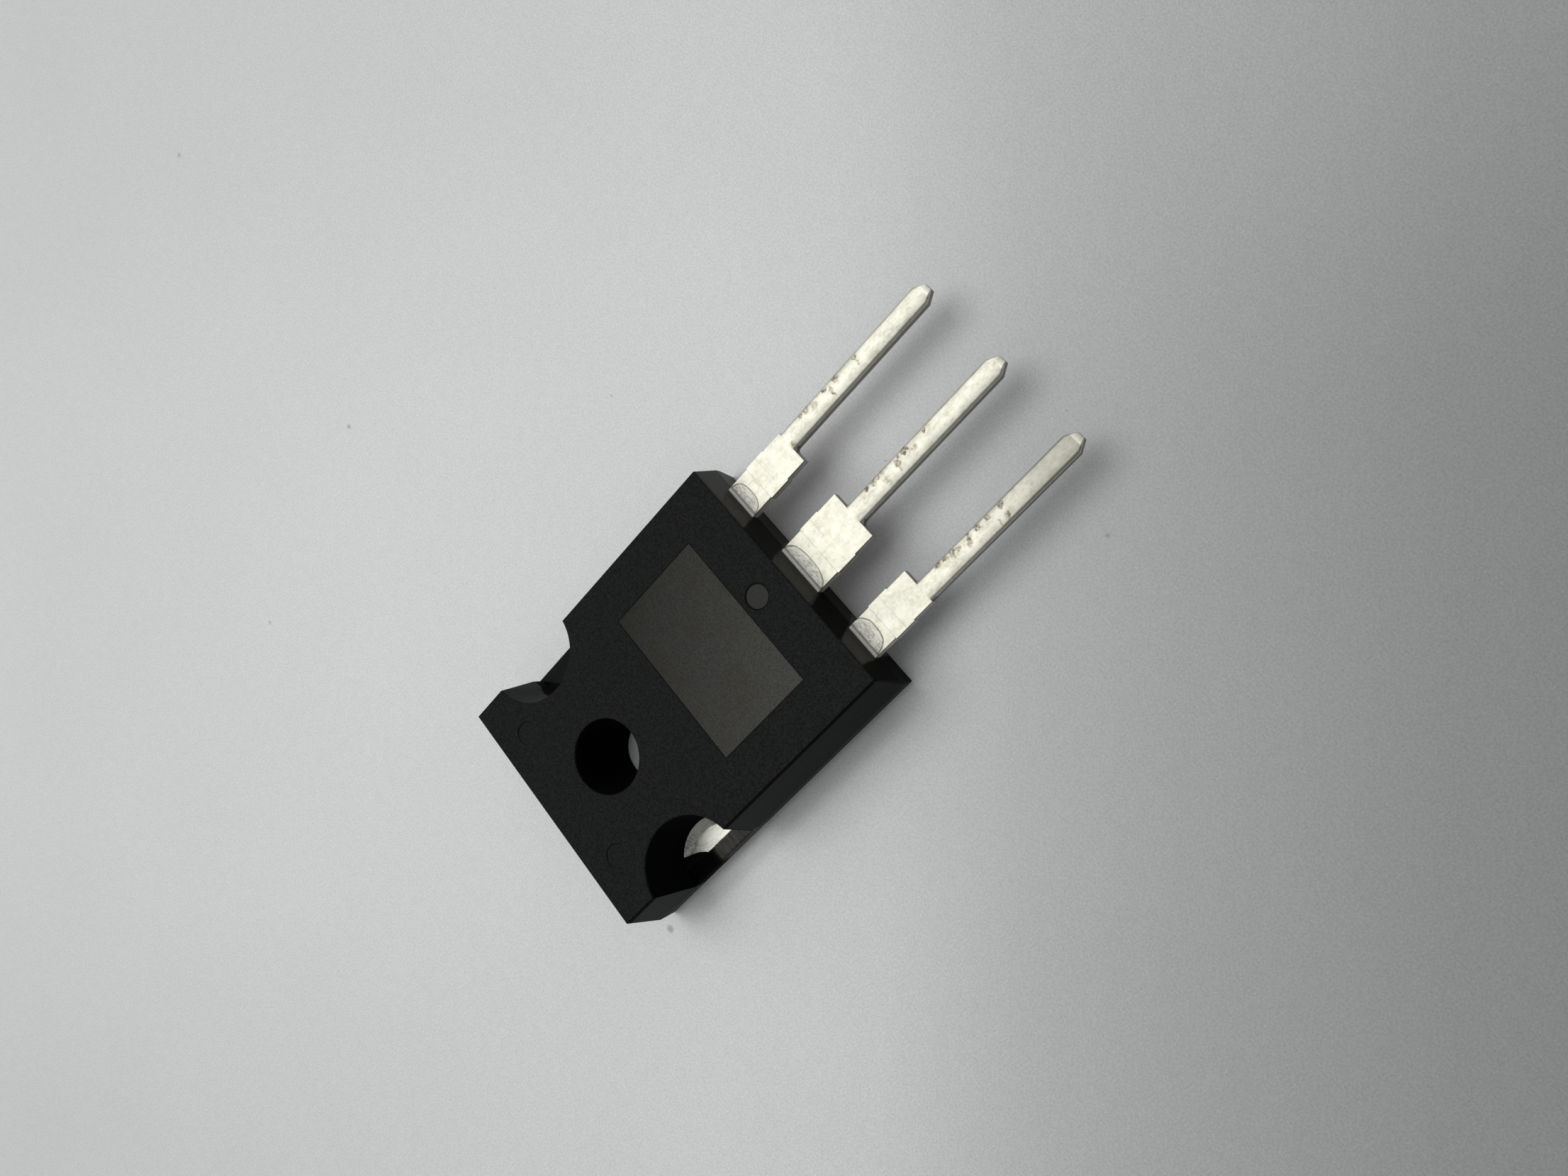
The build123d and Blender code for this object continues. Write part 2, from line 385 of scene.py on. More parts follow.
class Workpiece:
    """One mesh on the bench, in millimetres, shaped with edit-mode operators."""

    def __init__(self, name: str) -> None:
        """Take over the primitive just added and put its place into its mesh.

        Args:
            name: The piece's name.
        """
        self.obj = bpy.context.active_object
        self.obj.name = name
        self.obj.data.name = name
        bpy.ops.object.transform_apply(location=True, rotation=True, scale=True)

    @classmethod
    def block(cls, name: str, low: Point, high: Point) -> "Workpiece":
        """Cube primitive between two corners.

        Args:
            name: The piece's name.
            low: Lowest corner.
            high: Highest corner.

        Returns:
            The workpiece.
        """
        bpy.ops.object.select_all(action="DESELECT")
        middle = (Vector(low) + Vector(high)) / 2
        bpy.ops.mesh.primitive_cube_add(
            size=1.0, location=middle, scale=Vector(high) - Vector(low)
        )
        return cls(name)

    @classmethod
    def peg(
        cls, name: str, radius: float, low: float, high: float, centre: tuple[float, float],
        sides: int = 96,
    ) -> "Workpiece":
        """Upright cylinder primitive.

        Args:
            name: The piece's name.
            radius: Its radius.
            low: Height of its foot.
            high: Height of its top.
            centre: Its axis in plan.
            sides: Number of flats.

        Returns:
            The workpiece.
        """
        bpy.ops.object.select_all(action="DESELECT")
        bpy.ops.mesh.primitive_cylinder_add(
            vertices=sides, radius=radius, depth=high - low,
            location=(*centre, (low + high) / 2),
        )
        return cls(name)

    def alone(self) -> None:
        """Select the piece alone and make it the active one."""
        bpy.ops.object.select_all(action="DESELECT")
        self.obj.select_set(True)
        bpy.context.view_layer.objects.active = self.obj

    def open(self) -> None:
        """Select the piece alone and enter edit mode."""
        self.alone()
        bpy.ops.object.mode_set(mode="EDIT")

    def close(self) -> None:
        """Leave edit mode."""
        bpy.ops.object.mode_set(mode="OBJECT")

    def pick(self, part: Part, test: Callable[[Any], bool]) -> int:
        """Select corners, edges or faces that pass a test, in edit mode.

        Args:
            part: What is selected.
            test: Says yes for a bmesh vertex, edge or face that belongs.

        Returns:
            How many were selected.
        """
        bpy.context.tool_settings.mesh_select_mode = part.value
        shape = bmesh.from_edit_mesh(self.obj.data)
        shape.normal_update()
        for group in (shape.faces, shape.edges, shape.verts):
            for item in group:
                item.select = False
        pool = {Part.CORNERS: shape.verts, Part.EDGES: shape.edges, Part.FACES: shape.faces}[part]
        chosen = [item for item in pool if test(item)]
        for item in chosen:
            item.select_set(True)
        shape.select_flush_mode()
        bmesh.update_edit_mesh(self.obj.data)
        return len(chosen)

    def everything(self) -> None:
        """Select the whole mesh, in edit mode."""
        bpy.ops.mesh.select_all(action="SELECT")

    def cut(self, through: Point, normal: Point, keep_below: bool = False) -> None:
        """Bisect the whole mesh with a plane, in edit mode.

        Args:
            through: A point of the plane.
            normal: The plane's normal.
            keep_below: Drop what lies on the normal's side and close the cut.
        """
        self.everything()
        bpy.ops.mesh.bisect(
            plane_co=through, plane_no=normal, clear_outer=keep_below, use_fill=keep_below
        )

    def shift(self, test: Callable[[Any], bool], move: Point) -> None:
        """Move the corners that pass a test, in edit mode.

        Args:
            test: Says yes for a bmesh vertex that moves.
            move: The move.
        """
        self.pick(Part.CORNERS, test)
        bpy.ops.transform.translate(value=move)

    def stretch(self, test: Callable[[Any], bool], factors: Point, centre: Point) -> None:
        """Scale the corners that pass a test about a point, in edit mode.

        Args:
            test: Says yes for a bmesh vertex that moves.
            factors: Scale along each axis.
            centre: The fixed point.
        """
        self.pick(Part.CORNERS, test)
        bpy.ops.transform.resize(value=factors, center_override=centre)

    def pull(self, test: Callable[[Any], bool], move: Point) -> None:
        """Extrude the faces that pass a test, in edit mode.

        Args:
            test: Says yes for a bmesh face that is extruded.
            move: How far the new faces go.
        """
        self.pick(Part.FACES, test)
        bpy.ops.mesh.extrude_region_move(TRANSFORM_OT_translate={"value": move})

    def soften(self, test: Callable[[Any], bool], width: float, segments: int) -> None:
        """Round the edges that pass a test, in edit mode.

        Args:
            test: Says yes for a bmesh edge that is rounded.
            width: Width of the rounding.
            segments: Number of strips.
        """
        if self.pick(Part.EDGES, test):
            bpy.ops.mesh.bevel(
                offset=width, segments=segments, affect="EDGES", clamp_overlap=False
            )

    def weld(self, reach: float) -> None:
        """Merge corners that lie close together, in edit mode."""
        self.everything()
        bpy.ops.mesh.remove_doubles(threshold=reach)

    def tidy(self) -> None:
        """Merge doubles, drop flat edges and turn all faces outwards, in edit mode."""
        self.weld(CLOSE)
        self.everything()
        bpy.ops.mesh.dissolve_limited(angle_limit=math.radians(FLAT_FOLD))
        self.everything()
        bpy.ops.mesh.normals_make_consistent(inside=False)

    def _combine(self, tool: "Workpiece", operation: str) -> None:
        """Apply a Boolean modifier with another workpiece and clear that one away.

        Args:
            tool: The other workpiece.
            operation: The modifier's operation.
        """
        self.alone()
        step = self.obj.modifiers.new(operation.lower(), "BOOLEAN")
        step.operation = operation
        step.solver = "EXACT"
        step.object = tool.obj
        bpy.ops.object.modifier_apply(modifier=step.name)
        bpy.data.objects.remove(tool.obj)

    def carve(self, *tools: "Workpiece") -> "Workpiece":
        """Cut other workpieces out of this one.

        Args:
            tools: The cutters, which are used up.

        Returns:
            This workpiece.
        """
        for tool in tools:
            self._combine(tool, "DIFFERENCE")
        return self

    def fuse(self, *others: "Workpiece") -> "Workpiece":
        """Join other workpieces to this one.

        Args:
            others: The workpieces, which are used up.

        Returns:
            This workpiece.
        """
        for other in others:
            self._combine(other, "UNION")
        return self

    def common(self, other: "Workpiece") -> "Workpiece":
        """Keep only what lies in both workpieces."""
        self._combine(other, "INTERSECT")
        return self

    def finish(
        self, node: str, slot: str, material: bpy.types.Material, smooth: float = 32.0
    ) -> bpy.types.Object:
        """Shade the piece, hand it over in metres and seat it in the frame.

        Args:
            node: The CAD node it stands for.
            slot: The record's material slot; not used.
            material: Its finish.
            smooth: Edges flatter than this many degrees are shaded smooth.

        Returns:
            The finished object.
        """
        obj = self.obj
        self.alone()
        obj.scale = (MM, MM, MM)
        bpy.ops.object.transform_apply(location=True, rotation=True, scale=True)
        bpy.ops.object.shade_smooth_by_angle(
            angle=math.radians(smooth), keep_sharp_edges=True
        )
        step = obj.modifiers.new("weighted", "WEIGHTED_NORMAL")
        step.keep_sharp = True
        bpy.ops.object.modifier_apply(modifier=step.name)
        obj.data.materials.clear()
        obj.data.materials.append(material)
        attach(obj, "root")
        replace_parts(obj, node)
        return obj


def at(value: float, target: float) -> bool:
    """True if a coordinate is where it should be."""
    return abs(value - target) < CLOSE


def sharp_outer(edge: bmesh.types.BMEdge, degrees: float) -> bool:
    """True for an outward edge that folds by more than the given angle."""
    return edge.is_manifold and edge.calc_face_angle_signed(0.0) > math.radians(degrees)


def dress_node(node: str, material: bpy.types.Material) -> None:
    """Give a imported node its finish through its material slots.

    Args:
        node: The node's name.
        material: The finish.
    """
    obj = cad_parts[node]
    if not obj.material_slots:
        obj.data.materials.append(material)
    for slot in obj.material_slots:
        slot.material = material


# ---------------------------------------------------------------------------- finishes
@dataclass(frozen=True)
class Finish:
    """Look of one material; the bench is there while the material is built."""

    name: str
    bench: Optional[ShaderBench] = field(default=None, kw_only=True, compare=False)

    def material(self) -> bpy.types.Material:
        """Build the material.

        Returns:
            The material with its node tree filled.
        """
        material = bpy.data.materials.new(self.name)
        material.use_nodes = True
        replace(self, bench=ShaderBench(material.node_tree)).fill()
        return material

    def fill(self) -> None:
        """Fill the material's node tree."""
        raise NotImplementedError


@dataclass(frozen=True)
class EpoxyFinish(Finish):
    """Near-black moulding compound: matte front, glossier walls, one lasered field."""

    name: str = "epoxy_moulding_finish"
    end_wall: float = -14.2
    rim_walls: tuple[float, float, float] = (7.315, -14.305, 5.085)
    notch_foot_radius: float = 2.221
    hole_draft: float = 0.0545
    notch_draft: float = 0.1433
    lead_gap: tuple[float, float] = (1.60, 3.95)
    corner_gap: float = -6.10
    light_band: tuple[float, float] = (0.60, 0.95)
    side_seam: tuple[float, float] = (0.98, 1.22)
    shade_patch_line: tuple[float, float] = (0.85, 8.10)
    black: Colour = (0.0125, 0.0137, 0.0133)
    lasered: Colour = (0.062, 0.064, 0.0585)
    lasered_warm: Colour = (0.051, 0.049, 0.042)
    end_black_with_reflection: Colour = (0.0150, 0.0143, 0.0122)
    disc_grey: Colour = (0.045, 0.0470, 0.0430)
    groove_and_shadow_black: Colour = (0.0008, 0.0008, 0.0008)

    def _field(self) -> tuple[Wire, Wire]:
        """Lasered rectangle.

        Returns:
            Its area and its thin dark outline.
        """
        bench = self.bench
        x, y, _ = bench.axes
        half_width, near, far = SIZES.marked
        wobble = (bench.noise(3.5) - 0.5) * 0.035
        aside = abs(y - (near + far) / 2) - (far - near) / 2
        reach = (abs(x) - half_width).high(aside) + wobble
        return reach.ease(0.015, -0.015), reach.within(-0.01, 0.045, 0.018)

    def _round_marks(self) -> tuple[Wire, Wire]:
        """Disc and ejector pin marks.

        Returns:
            The disc's area, and the dark ring of the disc together with the painted shadow arcs of
            the ejector marks.
        """
        bench = self.bench
        x, y, radius = SIZES.disc
        ring = bench.distance((x, y, SIZES.thickness)) - radius
        grooves_and_arc_shadows = ring.within(-0.02, 0.06, 0.02)
        for x, y, radius in SIZES.ejectors:
            arc = bench.distance((x, y, SIZES.thickness)) - radius
            # Painted shadow: each ejector mark's arc is darkened only on the side towards the
            # light, where its wall lies in shade.
            shadow_side = (bench.axes[0] - x).ease(0.1, 0.4)
            grooves_and_arc_shadows = grooves_and_arc_shadows.high(arc.within(-0.03, 0.03, 0.02) * shadow_side * 0.8)
        return ring.ease(0.0, -0.05), grooves_and_arc_shadows

    def _shaded_hollows(self) -> Wire:
        """Walls of the hole and of the notch on the shaded side, darkened as painted shade.

        Returns:
            Their area, where painted shade is laid.
        """
        bench = self.bench
        areas = []
        for axis, radius, draft in (
            (0.0, SIZES.hole_radius, self.hole_draft),
            (-SIZES.half_width, self.notch_foot_radius, self.notch_draft),
        ):
            reach = bench.distance((axis, 0.0, 0.0), upright=True) - bench.axes[2] * draft
            areas.append(reach.ease(radius + 0.05, radius + 0.03))
        return areas[0].high(areas[1])

    def _edge_shade(self) -> Wire:
        """Dark line of painted shade along the outer rim of the marked face.

        Returns:
            Its area.
        """
        bench = self.bench
        x, y, z = bench.axes
        side, near, far = self.rim_walls
        outer = abs(x).ease(side - 0.02, side + 0.01).high(y.ease(far - 0.02, far + 0.01))
        outer = outer.high(y.ease(near + 0.02, near - 0.01) * 0.3)
        return outer * z.ease(SIZES.thickness - 0.36, SIZES.thickness - 0.30)

    def _between_leads(self) -> Wire:
        """Shaded places of the end wall beside the leads, deeper on the left.

        Returns:
            How much they are darkened.
        """
        bench = self.bench
        x, _, z = bench.axes
        rise = z - SIZES.lead_top
        x = x + (bench.noise(1.4) - 0.5) * 0.2
        gaps = abs(x + rise * 0.40).within(*self.lead_gap, 0.07)
        places = gaps.high((x + rise * 0.10).ease(self.corner_gap, self.corner_gap - 0.14))
        return places * (0.94 - x.ease(-1.0, 1.0) * 0.16
                         - self._low_end() * x.ease(-6.2, -4.0) * 0.25)

    def _low_end(self) -> Wire:
        """Part of the end wall below its parting ridge."""
        bench = self.bench
        return bench.axes[2].ease(SIZES.end_ridge + 0.02, SIZES.end_ridge - 0.04)

    def _notch_wall_shade_and_light(self) -> tuple[Wire, Wire]:
        """Painted shade and light on the wall of the notch on the lit side.

        Returns:
            A black area of painted shade beside the ear, and the stretch beyond it, which is
            painted lighter.
        """
        bench = self.bench
        x, y, z = bench.axes
        reach = bench.distance((SIZES.half_width, 0.0, 0.0), upright=True)
        ragged = bench.noise(2.2, 3.0, 0.6) - 0.5
        slope, level = self.shade_patch_line
        # Painted shade: a black area on the wall beside the ear; the stretch further on is painted
        # lighter.
        slant = (z + x * slope + ragged * 0.25).ease(level, level - 0.18)
        shade_patch = slant * x.ease(5.4, 5.8) * y.ease(1.3, 1.6) * z.ease(1.16, 1.24)
        lit = reach.ease(self.notch_foot_radius + 0.8, self.notch_foot_radius + 0.7)
        return shade_patch, lit * y.ease(-0.2, -1.2)

    def _seam(self, end: Wire, side: Wire) -> Wire:
        """Flash line on the end wall and dark line along the sides.

        Args:
            end: The end wall's area.
            side: The area of all other walls.

        Returns:
            The lines' area.
        """
        bench = self.bench
        flash = (bench.noise(1.6, 4.0, 0.7) - 0.5) * 0.16
        ridge = abs(bench.axes[2] - SIZES.end_ridge + flash).ease(0.07, 0.03) * end
        return ridge.high(bench.axes[2].within(*self.side_seam, 0.03) * side * 0.85)

    def _laser(self, speckle: Wire) -> Wire:
        """Colour of the lasered field: speckled, burnt in clouds, lighter towards one corner.

        Args:
            speckle: Fine noise.

        Returns:
            The colour.
        """
        bench = self.bench
        x, y, _ = bench.axes
        burn = bench.noise(0.55, 4.0, 0.62)
        sweep = bench.noise(1.0, 2.0, 0.5, (1.5, 9.0, 1.0))
        toward = 1.0 - x * 0.060 - (y + 8.5) * 0.055
        warm = bench.mix(burn.ease(0.35, 0.65), self.lasered, self.lasered_warm)
        depth = (speckle.ease(0.25, 0.75) - 0.5) * 0.60 + burn * 0.60 + 0.53 + sweep * 0.25
        return bench.shade(warm, depth * toward)

    def fill(self) -> None:
        """Fill the material's node tree."""
        bench = self.bench
        x, y, z = bench.axes
        front = z.ease(SIZES.thickness - 0.12, SIZES.thickness - 0.06)
        wall = 1.0 - front
        end = y.ease(self.end_wall + 0.1, self.end_wall - 0.1) * wall
        hollow_shade = self._shaded_hollows() * wall
        edge_shade = self._edge_shade()
        shaded = self._between_leads() * end
        shade_patch, lit = self._notch_wall_shade_and_light()
        seam = self._seam(end, (1.0 - end) * wall)

        grain = bench.noise(11.0, 3.0, 0.7)
        cloud = bench.noise(0.35, 3.0, 0.6)
        # Painted light on the walls: lighter towards the hole end along the sides and on the lit
        # stretch of the right notch, and painted reflections of the leads and the board on the end
        # wall, stronger on the right and below its ridge. The sides are also lighter in a band
        # near their foot.
        low = (z.ease(0.98, 0.92) * 0.45 + z.within(*self.light_band, 0.06) * 0.75) * (1.0 - end)
        walls = 0.60 + (y + 13.0) * 0.095 * (1.0 - end) + low * 3.3 + lit * 1.3
        walls = walls + end * (0.75 + x.ease(3.8, 4.2) * 0.3) + self._low_end() * end * 1.4
        tone = (grain.ease(0.26, 0.76) - 0.5) * (1.75 + low * 1.5) + 0.90 + cloud * 0.25
        tone = (tone + wall * walls).high(0.03)
        # Painted shade: the walls of the hole and the shaded notch, the black area on the lit
        # notch's wall and the line along the marked face's rim are darkened.
        tone = tone * (1.0 - hollow_shade.high(shade_patch * 0.98) * 0.97) * (1.0 - edge_shade * 0.96)
        tone = tone * (1.0 - shaded) * (1.0 - seam * 0.9)
        # The end wall's brownish tint is a painted reflection of the leads.
        colour = bench.shade(bench.mix(end, self.black, self.end_black_with_reflection), tone)

        inside, outline = self._field()
        inside = inside * front
        speckle = bench.noise(12.0, 2.0, 0.65)
        colour = bench.mix(inside, colour, self._laser(speckle))
        disc, grooves_and_arc_shadows = self._round_marks()
        colour = bench.mix(disc * front, colour, bench.shade(self.disc_grey, 0.5 + speckle))
        # The field's outline and the disc's ring are dark marks of the compound; the ejector arcs
        # are painted shadow.
        colour = bench.mix(outline.high(grooves_and_arc_shadows) * front * 0.9, colour, self.groove_and_shadow_black)

        rough = 0.78 - front * (1.0 - inside) * 0.12 - inside * 0.10
        rough = rough + hollow_shade.high(edge_shade).high(shade_patch) * 0.22 + (grain - 0.5) * 0.2
        relief = bench.noise(5.5, 4.0, 0.7) * (0.35 + front * 0.65 - end * 0.2)
        bench.surface(
            Base_Color=colour, Roughness=rough, Normal=bench.bump(relief, 0.014),
            Specular_IOR_Level=0.08, Coat_Weight=end * (1.0 - shaded) * 0.17,
            Coat_Roughness=0.14,
        )


@dataclass(frozen=True)
class Stain:
    """One patch of soldering residue on a narrow lead."""

    across: float
    along: float
    half_width: float
    half_length: float
    depth: float
    warm: float


@dataclass(frozen=True)
class Scratch:
    """One straight scratch on the top of a lead."""

    start: tuple[float, float]
    end: tuple[float, float]
    depth: float


def stains(*rows: tuple[float, ...]) -> tuple[Stain, ...]:
    """Stains from rows of numbers in the order of their fields."""
    return tuple(Stain(*row) for row in rows)


RIGHT_STAINS = stains(
    (0.42, -20.04, 0.16, 0.14, 0.85, 0.5), (0.40, -20.46, 0.20, 0.22, 0.6, 0.9),
    (0.24, -21.00, 0.30, 0.28, 0.4, 0.9), (0.36, -21.87, 0.13, 0.13, 0.8, 0.2),
    (0.02, -22.18, 0.34, 0.09, 0.6, 0.9), (0.42, -22.74, 0.21, 0.26, 0.8, 0.3),
    (0.41, -24.18, 0.13, 0.14, 0.85, 0.2), (0.10, -24.16, 0.30, 0.06, 0.4, 0.7),
    (-0.38, -18.77, 0.17, 0.13, 0.6, 0.3),
)
MIDDLE_STAINS = stains(
    (0.46, -20.00, 0.14, 0.14, 0.9, 0.3), (0.43, -20.47, 0.18, 0.19, 0.6, 0.7),
    (0.47, -20.82, 0.14, 0.15, 0.5, 0.9), (0.44, -21.15, 0.16, 0.15, 0.55, 0.8),
    (0.01, -21.08, 0.25, 0.21, 0.4, 1.0), (0.21, -22.05, 0.21, 0.17, 0.6, 0.6),
    (-0.12, -22.01, 0.17, 0.08, 0.4, 0.8), (0.39, -22.31, 0.15, 0.15, 0.5, 0.3),
    (0.39, -22.77, 0.18, 0.21, 0.85, 0.2), (0.18, -23.03, 0.13, 0.13, 0.4, 0.5),
    (0.10, -23.27, 0.15, 0.14, 0.4, 0.6), (0.39, -24.14, 0.14, 0.15, 0.75, 0.2),
)
LEFT_STAINS = stains(
    (0.43, -20.02, 0.17, 0.16, 0.8, 0.9), (0.46, -20.52, 0.15, 0.17, 0.7, 0.8),
    (0.42, -21.03, 0.17, 0.17, 0.6, 0.7), (0.21, -20.91, 0.19, 0.17, 0.4, 1.0),
    (0.31, -21.36, 0.19, 0.19, 0.5, 0.8), (0.35, -22.10, 0.19, 0.18, 0.7, 0.5),
    (0.05, -21.93, 0.17, 0.15, 0.45, 0.6), (0.40, -22.73, 0.18, 0.19, 0.8, 0.3),
    (0.35, -23.39, 0.16, 0.17, 0.7, 0.3), (0.35, -24.29, 0.18, 0.18, 0.75, 0.3),
    (-0.26, -24.23, 0.19, 0.16, 0.55, 0.5), (-0.30, -23.71, 0.21, 0.08, 0.4, 0.5),
)
RIGHT_SCRATCHES = (
    Scratch((5.43, -15.43), (5.44, -15.85), 0.45), Scratch((5.44, -15.85), (4.92, -15.88), 0.5),
    Scratch((4.92, -15.88), (4.73, -15.58), 0.4), Scratch((4.73, -15.58), (4.80, -15.36), 0.35),
)
LEFT_SCRATCHES = (
    Scratch((-4.86, -15.78), (-4.62, -15.93), 0.35), Scratch((-4.62, -15.93), (-4.55, -16.2), 0.3),
)


@dataclass(frozen=True)
class TinFinish(Finish):
    """Matte tin plating of the leads, with tool marks, root marks and residue stains."""

    axis: float
    stains: tuple[Stain, ...]
    root_centre: float
    root_reach: float
    root_half_width: float
    tip_shade_strength: float = 0.0
    scratches: tuple[Scratch, ...] = ()
    facet_line: float = -28.89
    near_mark: float = -15.96
    far_mark: float = -16.72
    stained_span: tuple[float, float] = (-24.6, -19.7)
    tip_shade_span: tuple[float, float] = (-21.5, -28.6)
    metallic: float = 0.92
    tin: Colour = (0.87, 0.865, 0.765)
    tarnish: Colour = (0.83, 0.815, 0.67)
    tip_shade: Colour = (0.24, 0.24, 0.20)
    tool_grey: Colour = (0.36, 0.35, 0.30)
    scratch_grey: Colour = (0.30, 0.30, 0.28)
    root_dark: Colour = (0.50, 0.49, 0.43)
    root_pale: Colour = (0.90, 0.89, 0.82)
    root_rim_shadow: Colour = (0.17, 0.17, 0.15)
    root_strip: Colour = (0.74, 0.74, 0.69)
    root_band: Colour = (0.17, 0.17, 0.155)
    stain_dark: Colour = (0.13, 0.115, 0.08)
    stain_warm: Colour = (0.25, 0.180, 0.105)
    stain_pale: Colour = (0.46, 0.38, 0.25)
    cut: Colour = (0.50, 0.485, 0.450)
    wall_shade: Colour = (0.060, 0.052, 0.046)

    @cached_property
    def upward(self) -> Wire:
        """Faces that look up."""
        face = self.bench.node("ShaderNodeTexCoord", output="Normal")
        return self.bench.split(face)[2].ease(0.35, 0.75)

    @cached_property
    def wide(self) -> Wire:
        """The wide part."""
        return self.bench.axes[1].ease(SIZES.shoulder - 0.1, SIZES.shoulder + 0.1)

    @cached_property
    def facet(self) -> Wire:
        """The swaged end of the tip."""
        return self.bench.axes[1].ease(self.facet_line + 0.02, self.facet_line - 0.02)

    @cached_property
    def cloud(self) -> Wire:
        """Soft large clouds."""
        return self.bench.noise(1.3, 4.0, 0.62)

    @cached_property
    def flecks(self) -> Wire:
        """Small flecks."""
        return self.bench.noise(5.5, 3.0, 0.6)

    def _plating(self) -> Wire:
        """Mottled and drawn tin, with painted shade towards the sides of the narrow part's top and
        a painted highlight on the tip's facet.

        Returns:
            The colour.
        """
        bench, wide, facet = self.bench, self.wide, self.facet
        across = bench.axes[0] - self.axis
        patches = bench.noise(1.0, 4.0, 0.65, (3.4, 1.6, 3.4))
        drawn = bench.noise(1.0, 3.0, 0.6, (11.0, 2.6, 11.0))
        mottle = self.flecks.ease(0.42, 0.66) * self.cloud.ease(0.30, 0.6)
        worn = patches.ease(0.46, 0.68) * (0.06 + (1.0 - wide) * 0.10)
        worn = worn + (drawn - 0.5) * (0.10 + (1.0 - wide) * 0.12)
        # Painted shade: the narrow part's top darkens towards its sides, most on the -X side.
        crown_shade = (across.ease(-0.50, 0.02) * 0.34 + 0.68) * (across.ease(0.58, 0.26) * 0.16 + 0.84)
        plain = wide.high(facet)
        # Painted highlight on the tip's swaged facet.
        tone = (crown_shade * (1.0 - plain) + plain) * (1.02 - mottle * 0.12 - worn) + facet * 0.12
        pale = bench.mix(patches.ease(0.40, 0.62) * 0.6, self.tin, self.tarnish)
        return bench.shade(pale, tone)

    def _scratched(self, colour: Wire) -> Wire:
        """Add the straight scratches.

        Args:
            colour: The colour so far.

        Returns:
            The colour.
        """
        x, y, _ = self.bench.axes
        for scratch in self.scratches:
            (from_x, from_y), (to_x, to_y) = scratch.start, scratch.end
            length = math.hypot(to_x - from_x, to_y - from_y)
            run_x, run_y = (to_x - from_x) / length, (to_y - from_y) / length
            along = (x - from_x) * run_x + (y - from_y) * run_y
            aside = (x - from_x) * run_y - (y - from_y) * run_x
            area = abs(aside).ease(0.028, 0.006) * along.within(0.0, length, 0.02)
            share = area * scratch.depth * self.upward
            colour = self.bench.mix(share, colour, self.scratch_grey)
        return colour

    def _root(self, colour: Wire, pitted: Wire) -> tuple[Wire, Wire, Wire]:
        """Add the grey rounded mark at the lead's root, with painted shadow along its curved rim,
        and the strip behind it.

        Args:
            colour: The colour so far.
            pitted: Fine noise that pits the mark.

        Returns:
            The colour, the mark's area and the dark band at the moulding.
        """
        bench, flecks = self.bench, self.flecks
        line = SIZES.root_line
        y = bench.axes[1]
        centre = (self.root_centre, line, SIZES.lead_top)
        sizes = (1 / self.root_half_width, 1 / self.root_reach, 0.0)
        across, along, _ = bench.split(
            bench.where.vector("SUBTRACT", centre).vector("MULTIPLY", sizes)
        )
        wobble = (bench.noise(2.6, 3.0) - 0.5) * 0.16
        reach = (abs(across).math("POWER", 2.6) + abs(along).math("POWER", 2.2)) + wobble
        root = y.ease(SIZES.lead_end - 1.2, SIZES.lead_end - 1.1) * self.upward
        outer = y.ease(line + 0.02, line - 0.02)
        mark = reach.ease(1.06, 0.94) * root
        lip = reach.within(0.72, 0.88, 0.06) * root
        # Painted shadow along the curved rim of the root mark.
        rim = reach.within(0.93, 1.10, 0.05) * root * flecks.ease(0.20, 0.45)
        grey = bench.mix(pitted.ease(0.32, 0.60), self.root_dark, self.root_pale)
        colour = bench.mix(mark * outer, colour, grey)
        colour = bench.mix(lip * outer * 0.45, colour, self.tin)
        colour = bench.mix(rim * outer * 0.80, colour, self.root_rim_shadow)
        strip = y.ease(line + 0.01, line + 0.05) * self.upward
        colour = bench.mix(strip, colour, bench.shade(self.root_strip, 0.8 + pitted * 0.4))
        band = abs(y - line - (flecks - 0.5) * 0.06).ease(0.09, 0.03) * self.upward
        return bench.mix(band * 0.62, colour, self.root_band), mark, band

    def _stained(self, colour: Wire) -> tuple[Wire, Wire]:
        """Add the soldering residue, and painted shade towards the tip.

        Args:
            colour: The colour so far.

        Returns:
            The colour, and how strong the stains are.
        """
        bench, y = self.bench, self.bench.axes[1]
        ragged = bench.node("ShaderNodeTexNoise", sockets={"Vector": bench.where, "Scale": 3.4,
                            "Detail": 3.0, "Roughness": 0.6}, output="Color")
        torn = ragged.vector("SUBTRACT", (0.5, 0.5, 0.5)).scaled(0.42)
        torn = bench.where.vector("ADD", torn)
        strong: Value = 0.0
        warm: Value = 0.0
        for stain in self.stains:
            centre = (self.axis + stain.across, stain.along, SIZES.lead_top)
            spot = bench.blob(centre, (stain.half_width, stain.half_length, 0.5), 0.5, torn)
            strong = (spot * stain.depth).high(strong)
            warm = (spot * stain.warm).high(warm)

        specks = bench.noise(7.0, 3.0, 0.6).ease(0.43, 0.57)
        curl = abs(bench.noise(4.4) - 0.5).ease(0.05, 0.012)
        core = strong.ease(0.16, 0.58)
        shore = (bench.axes[0] - self.axis).ease(0.22, 0.50) * y.within(*self.stained_span, 0.3)
        shore = shore * (1.0 - self.wide) * self.cloud.ease(0.30, 0.62) * 0.6
        stained = strong.high(shore) * 0.42 + core * specks.high(curl * 0.7) * 0.44
        stained = stained * self.upward
        brown = bench.mix(warm, self.stain_dark, self.stain_warm)
        colour = bench.mix(stained, colour, bench.mix(specks * core, self.stain_pale, brown))
